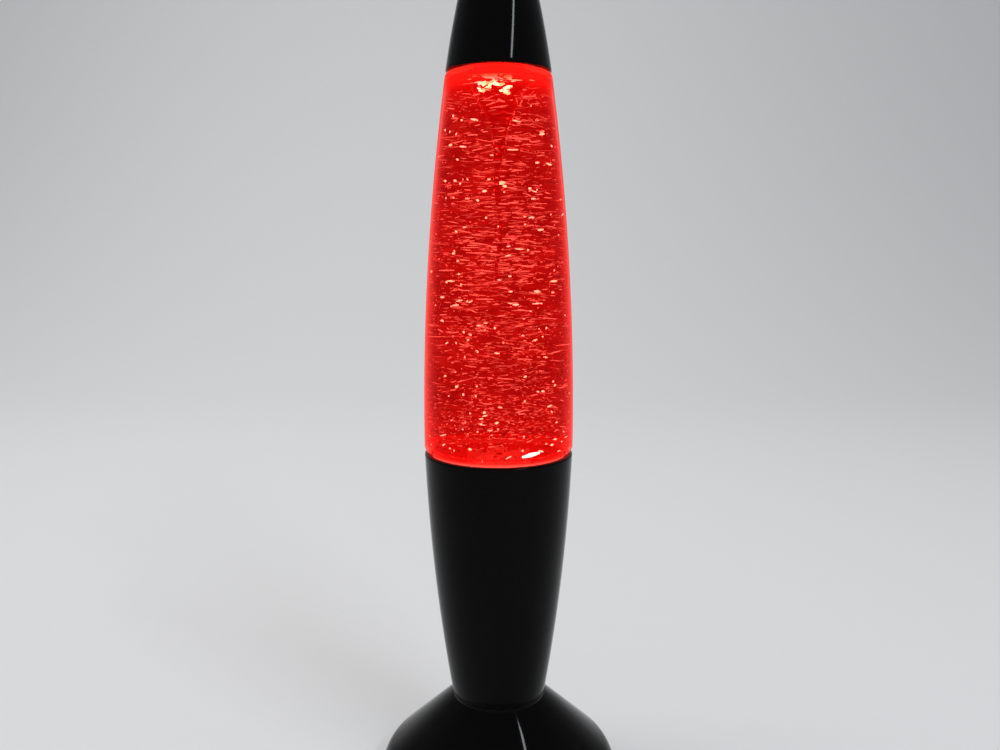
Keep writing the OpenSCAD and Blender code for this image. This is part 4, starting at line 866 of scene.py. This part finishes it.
# How each flake lies: those low down are shorter, and one that turns across the stream moves in
calm = flow("SUBTRACT", 1.0, flow("MULTIPLY", takes["Settling"], flow("POWER", fall, SETTLING_POWER)))
long_share = flow("POWER", chance(LENGTH_DRAW), LENGTH_POWER)
length = flow("MULTIPLY", between(takes["Shortest"], takes["Longest"], long_share), calm)
swing = flow("MULTIPLY", takes["Sway"], chance(SWAY_DRAW, -1.0, 1.0))
swept = flow("MULTIPLY", length, flow("ABSOLUTE", flow("SINE", swing)))
radius = flow("SUBTRACT", flow("MULTIPLY", reach, spread), swept)
across = flow("MULTIPLY", radius, flow("COSINE", angle))
along = flow("MULTIPLY", radius, flow("SINE", angle))
width = flow("MULTIPLY", takes["Width"], chance(WIDTH_DRAW, 0.6, 1.4))
lean = flow("MULTIPLY_ADD", takes["Lean"], chance(LEAN_DRAW, -1.0, 1.0), takes["Tilt"])
turn = vector(lean, chance(ROLL_DRAW, -0.5, 0.5), flow("ADD", angle, swing))

scattered = {"Count": takes["Count"], "Position": vector(across, along, level)}
points = add(STREAM, "GeometryNodePoints", scattered).outputs[0]
sliver = add(STREAM, "GeometryNodeMeshIcoSphere", {"Radius": 1.0, "Subdivisions": 1}).outputs[0]
way = add(STREAM, "FunctionNodeEulerToRotation", {0: turn}).outputs[0]
flakes = copied(STREAM, points, sliver, way, vector(takes["Thickness"], length, width))
# Each flake draws how brightly it is lit: a painted light level, which picks its lit copy of the foil
levelled = {0: flakes, "Name": "flake_tint", 3: chance(LIGHT_LEVEL_DRAW)}
marked = add(STREAM, "GeometryNodeStoreNamedAttribute", levelled, data_type="FLOAT", domain="INSTANCE")
surface = painted(STREAM, marked.outputs[0], takes["Ember"])
light_level = add(STREAM, "GeometryNodeInputNamedAttribute", {0: "flake_tint"}, data_type="FLOAT").outputs[0]
for label, start in LIGHT_LEVEL_STARTS.items():
    limits = {0: light_level, 1: start}
    above = add(STREAM, "FunctionNodeCompare", limits, data_type="FLOAT", operation="GREATER_THAN")
    chosen = {0: surface, 1: above.outputs[0], "Material": takes[label]}
    surface = add(STREAM, "GeometryNodeSetMaterial", chosen).outputs[0]
STREAM.links.new(surface, gives[0])

# One silver foil in painted light: dim, lit, bright and flashing copies, amber and pale glints, a copy in
# painted shade and a white glint
foils = {
    "Ember": spark("flake_ember", (0.3, 0.008, 0.004), (0.6, 0.08, 0.05), strength=0.6),
    "Coral": spark("flake_coral", (0.44, 0.3, 0.24), (0.78, 0.7, 0.56), strength=1.4),
    "Rose": spark("flake_rose", (0.7, 0.66, 0.52), (0.9, 0.88, 0.7), strength=2.9),
    "Gold": spark("flake_gold", (1.0, 0.9, 0.6), (1.0, 0.96, 0.74), strength=13.0),
}
bright = dict.fromkeys(foils, foils["Gold"])
amber_foil = spark("flake_amber", (1.0, 0.82, 0.3), (1.0, 0.95, 0.6), strength=14.0)
pale_foil = spark("flake_pale", (1.0, 0.95, 0.62), (1.0, 0.98, 0.8), strength=20.0)
shaded_foil = spark("flake_shaded", (0.16, 0.002, 0.002), (0.36, 0.006, 0.004), strength=0.5)
white_glint_foil = spark("flake_white_glint", (1.0, 0.95, 0.86), (1.0, 0.98, 0.92), strength=26.0)
amber = {"Ember": amber_foil, "Coral": pale_foil, "Rose": amber_foil, "Gold": pale_foil}
all_round = {"First Turn": 0.0, "Last Turn": 2 * math.pi}

# The many flakes in the stream, then the few that flash
glitter = grown("glitter_flakes", STREAM, {
    **foils, "Gold": foils["Rose"], "Count": 4400, "Seed": 8,
    **all_round, "Low": 0.1555, "High": 0.2955, "Crowding": 1.45, "Gathering": 0.2,
    "Low Radius": 0.0285, "High Radius": 0.0194, "Bow": 0.0026, "Inner Share": 0.3, "Funnel Share": 0.2,
    "Shortest": 0.0006, "Longest": 0.005, "Width": 0.0002, "Thickness": 0.00009,
    "Tilt": 0.02, "Lean": 0.19, "Sway": 0.8, "Settling": 0.7,
})
sparkles = grown("bright_glints", STREAM, {
    **bright, "Count": 140, "Seed": 5,
    **all_round, "Low": 0.152, "High": 0.289, "Crowding": 1.1,
    "Low Radius": 0.0283, "High Radius": 0.0197, "Bow": 0.0026, "Inner Share": 0.5, "Funnel Share": 0.2,
    "Shortest": 0.0005, "Longest": 0.0023, "Width": 0.00041, "Thickness": 0.0002,
    "Tilt": 0.02, "Lean": 0.25, "Sway": 0.8, "Settling": 0.3,
})

# Painted glints at the mouth of the funnel and under the shoulder, where the light gathers, made as bright
# flakes
mouth = grown("mouth_glints", STREAM, {
    **amber, "Count": 30, "Seed": 71,
    "First Turn": math.radians(-132), "Last Turn": math.radians(-70),
    "Low": 0.2935, "High": 0.299, "Crowding": 0.9,
    "Low Radius": 0.0128, "High Radius": 0.0142, "Inner Share": 0.84, "Funnel Share": 0.06,
    "Shortest": 0.0005, "Longest": 0.0024, "Width": 0.0006, "Thickness": 0.0004,
    "Lean": 0.5, "Settling": 0.0,
})
crest = grown("crest_glints", STREAM, {
    **amber, "Ember": foils["Rose"], "Count": 12, "Seed": 19,
    "First Turn": math.radians(-140), "Last Turn": math.radians(-42),
    "Low": 0.2966, "High": 0.2992,
    "Low Radius": 0.0175, "High Radius": 0.0177, "Inner Share": 0.96,
    "Shortest": 0.001, "Longest": 0.0046, "Width": 0.00025, "Thickness": 0.00012,
    "Lean": 0.06, "Settling": 0.0,
})

# Flakes that have sunk to the lower shoulder, most in painted shade and a few in painted flashes, and a
# large one that lies there flat with a painted white glint
specks = grown("low_specks", STREAM, {
    **bright, "Ember": shaded_foil, "Coral": shaded_foil, "Count": 200, "Seed": 27,
    **all_round, "Low": 0.1495, "High": 0.158, "Crowding": 0.9,
    "Low Radius": 0.0252, "High Radius": 0.0286, "Inner Share": 0.8,
    "Shortest": 0.0004, "Longest": 0.0018, "Width": 0.00036, "Thickness": 0.00012,
    "Lean": 0.4, "Sway": 0.8, "Settling": 0.0,
})
settled = grown("settled_flake", STREAM, {
    **dict.fromkeys(foils, white_glint_foil), "Count": 1, "Seed": 3,
    "First Turn": math.radians(-62), "Last Turn": math.radians(-62),
    "Low": 0.153, "High": 0.153,
    "Low Radius": 0.0272, "High Radius": 0.0272, "Inner Share": 0.99,
    "Shortest": 0.0048, "Longest": 0.0048, "Width": 0.0008, "Thickness": 0.0003,
    "Tilt": 0.12, "Lean": 0.0, "Settling": 0.0,
})
joined(glitter, sparkles, mouth, crest, specks, settled)
glitter.data.shade_smooth()
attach(glitter, "swirl")
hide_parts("glitter")

# Cap: a tall black shell in high gloss that narrows to a small flat top. It drops over the
# closure, and four ribs inside rest on it.
CAP_Z, CAP_TOP, CAP_R, CAP_TOP_R, CAP_BOW, CAP_WALL = 303.5, 360.0, 21.25, 8.5, 1.1, 1.8
CAP_ROUND, CAP_EDGE, CAP_EDGE_STEP = 1.6, 0.4, 0.1
CAP_RIB_T, CAP_RIB_H, CAP_RIB_IN = 1.4, 16.0, 10.48


def cap_r(z):
    """Outer radius of the cap at a height."""
    return bowed(CAP_R, CAP_TOP_R, CAP_BOW, (z - CAP_Z) / (CAP_TOP - CAP_Z))


edge_z = CAP_TOP - CAP_ROUND
cap_outline = (
    [(cap_r(CAP_Z) - CAP_EDGE, CAP_Z), (cap_r(CAP_Z) - CAP_EDGE_STEP, CAP_Z + CAP_EDGE_STEP)]
    + [(cap_r(z), z) for z in levels(CAP_Z + CAP_EDGE, edge_z, steps=44)]
    + arc((cap_r(edge_z) - CAP_ROUND, edge_z), CAP_ROUND, 10, 90, steps=10)
    + [(0, CAP_TOP), (0, CAP_TOP - CAP_WALL)]
    + [(cap_r(z) - CAP_WALL, z) for z in reversed(levels(CAP_Z, CAP_TOP - CAP_WALL, steps=36))]
)
cap_black = shell_gloss("cap_black")
cap = piece_of("cap_shell", turned(cap_outline), cap_black, SHELL_CREASE)
rib_top = CLOSURE_TOP + CAP_RIB_H
rib_out = cap_r(rib_top) - CAP_WALL / 2
rib = block((CAP_RIB_IN, -CAP_RIB_T / 2, CLOSURE_TOP), (rib_out, CAP_RIB_T / 2, rib_top))
joined(cap, ring_of("cap_ribs", rib, count=4, material=cap_black))
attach(cap, "cap")
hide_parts("top_cap")

# Studio: a pale sheet of paper that sweeps up behind the lamp, a large soft light, and two narrow
# strips to the right that draw the thin bright lines down the cap and the foot. The camera stands
# where the photo's did.
PAPER_R, PAPER_CURL, PAPER_TOP = 3.2, 0.9, 3.0
paper = moulded("studio_paper", (0.78, 0.775, 0.77), gloss=0.7, grain=400.0, tone=0.01, scuff=0.0)
widths = [PAPER_R * math.sin(math.radians(6 * i - 90)) for i in range(31)]
profile = arc((PAPER_CURL, PAPER_CURL), PAPER_CURL, -90, 0, steps=15) + [(2 * PAPER_CURL, PAPER_TOP)]
sheet = bmesh.new()
rows = [[sheet.verts.new((x, -math.sqrt(max(0.0, PAPER_R**2 - x**2)), 0.0)) for x in widths]]
rows += [[sheet.verts.new((x, y, z)) for x in widths] for y, z in profile]
for near, far in zip(rows, rows[1:]):
    for i in range(len(widths) - 1):
        sheet.faces.new((near[i], near[i + 1], far[i + 1], far[i]))
floor = piece_of("studio_floor", sheet, paper, sharp=60)

scene = bpy.context.scene
world = bpy.data.worlds.new("studio_air")
world.use_nodes = True
air = world.node_tree.nodes["Background"]
air.inputs["Color"].default_value = (0.92, 0.95, 1.0, 1)
air.inputs["Strength"].default_value = 0.36
scene.world = world


def soft_light(name, low, high, width, towards, power, colour=(1.0, 1.0, 1.0)):
    """A flat lamp from one end to the other, turned to face a spot."""
    low, high = Vector(low), Vector(high)
    lamp = bpy.data.lights.new(name, "AREA")
    lamp.shape = "RECTANGLE"
    lamp.size, lamp.size_y = width, (high - low).length
    lamp.energy, lamp.color = power, colour
    made = bpy.data.objects.new(name, lamp)
    scene.collection.objects.link(made)
    made.location = (low + high) / 2
    back = (made.location - Vector(towards)).normalized()
    across = (high - low).cross(back).normalized()
    made.rotation_mode = "QUATERNION"
    made.rotation_quaternion = Matrix((across, back.cross(across), back)).transposed().to_quaternion()
    made.visible_camera = False


soft_light("soft_key", (-0.5, -0.18, 2.06), (-0.5, 1.08, 1.74), width=1.3, towards=(0, 0, 0.1), power=20.0)
soft_light("cap_strip", (0.505, -0.957, 0.855), (0.7, -0.665, 1.065), width=0.048,
           towards=(0, 0, 0.32), power=2.8, colour=(0.84, 0.93, 1.0))
soft_light("foot_strip", (0.805, -0.79, 1.455), (0.84, -0.566, 1.541), width=0.055,
           towards=(0, 0, 0.03), power=2.0, colour=(0.88, 0.95, 1.0))

CAMERA_DOWN = 8.5
view = bpy.data.cameras.new("camera")
view.lens, view.sensor_width = 31.68, 36.0
view.clip_start = 0.01
camera = bpy.data.objects.new("camera", view)
scene.collection.objects.link(camera)
camera.location = (0.0006, -0.365, 0.236)
camera.rotation_euler = (math.radians(90 - CAMERA_DOWN), 0, 0)
scene.camera = camera
scene.view_settings.view_transform = "Standard"
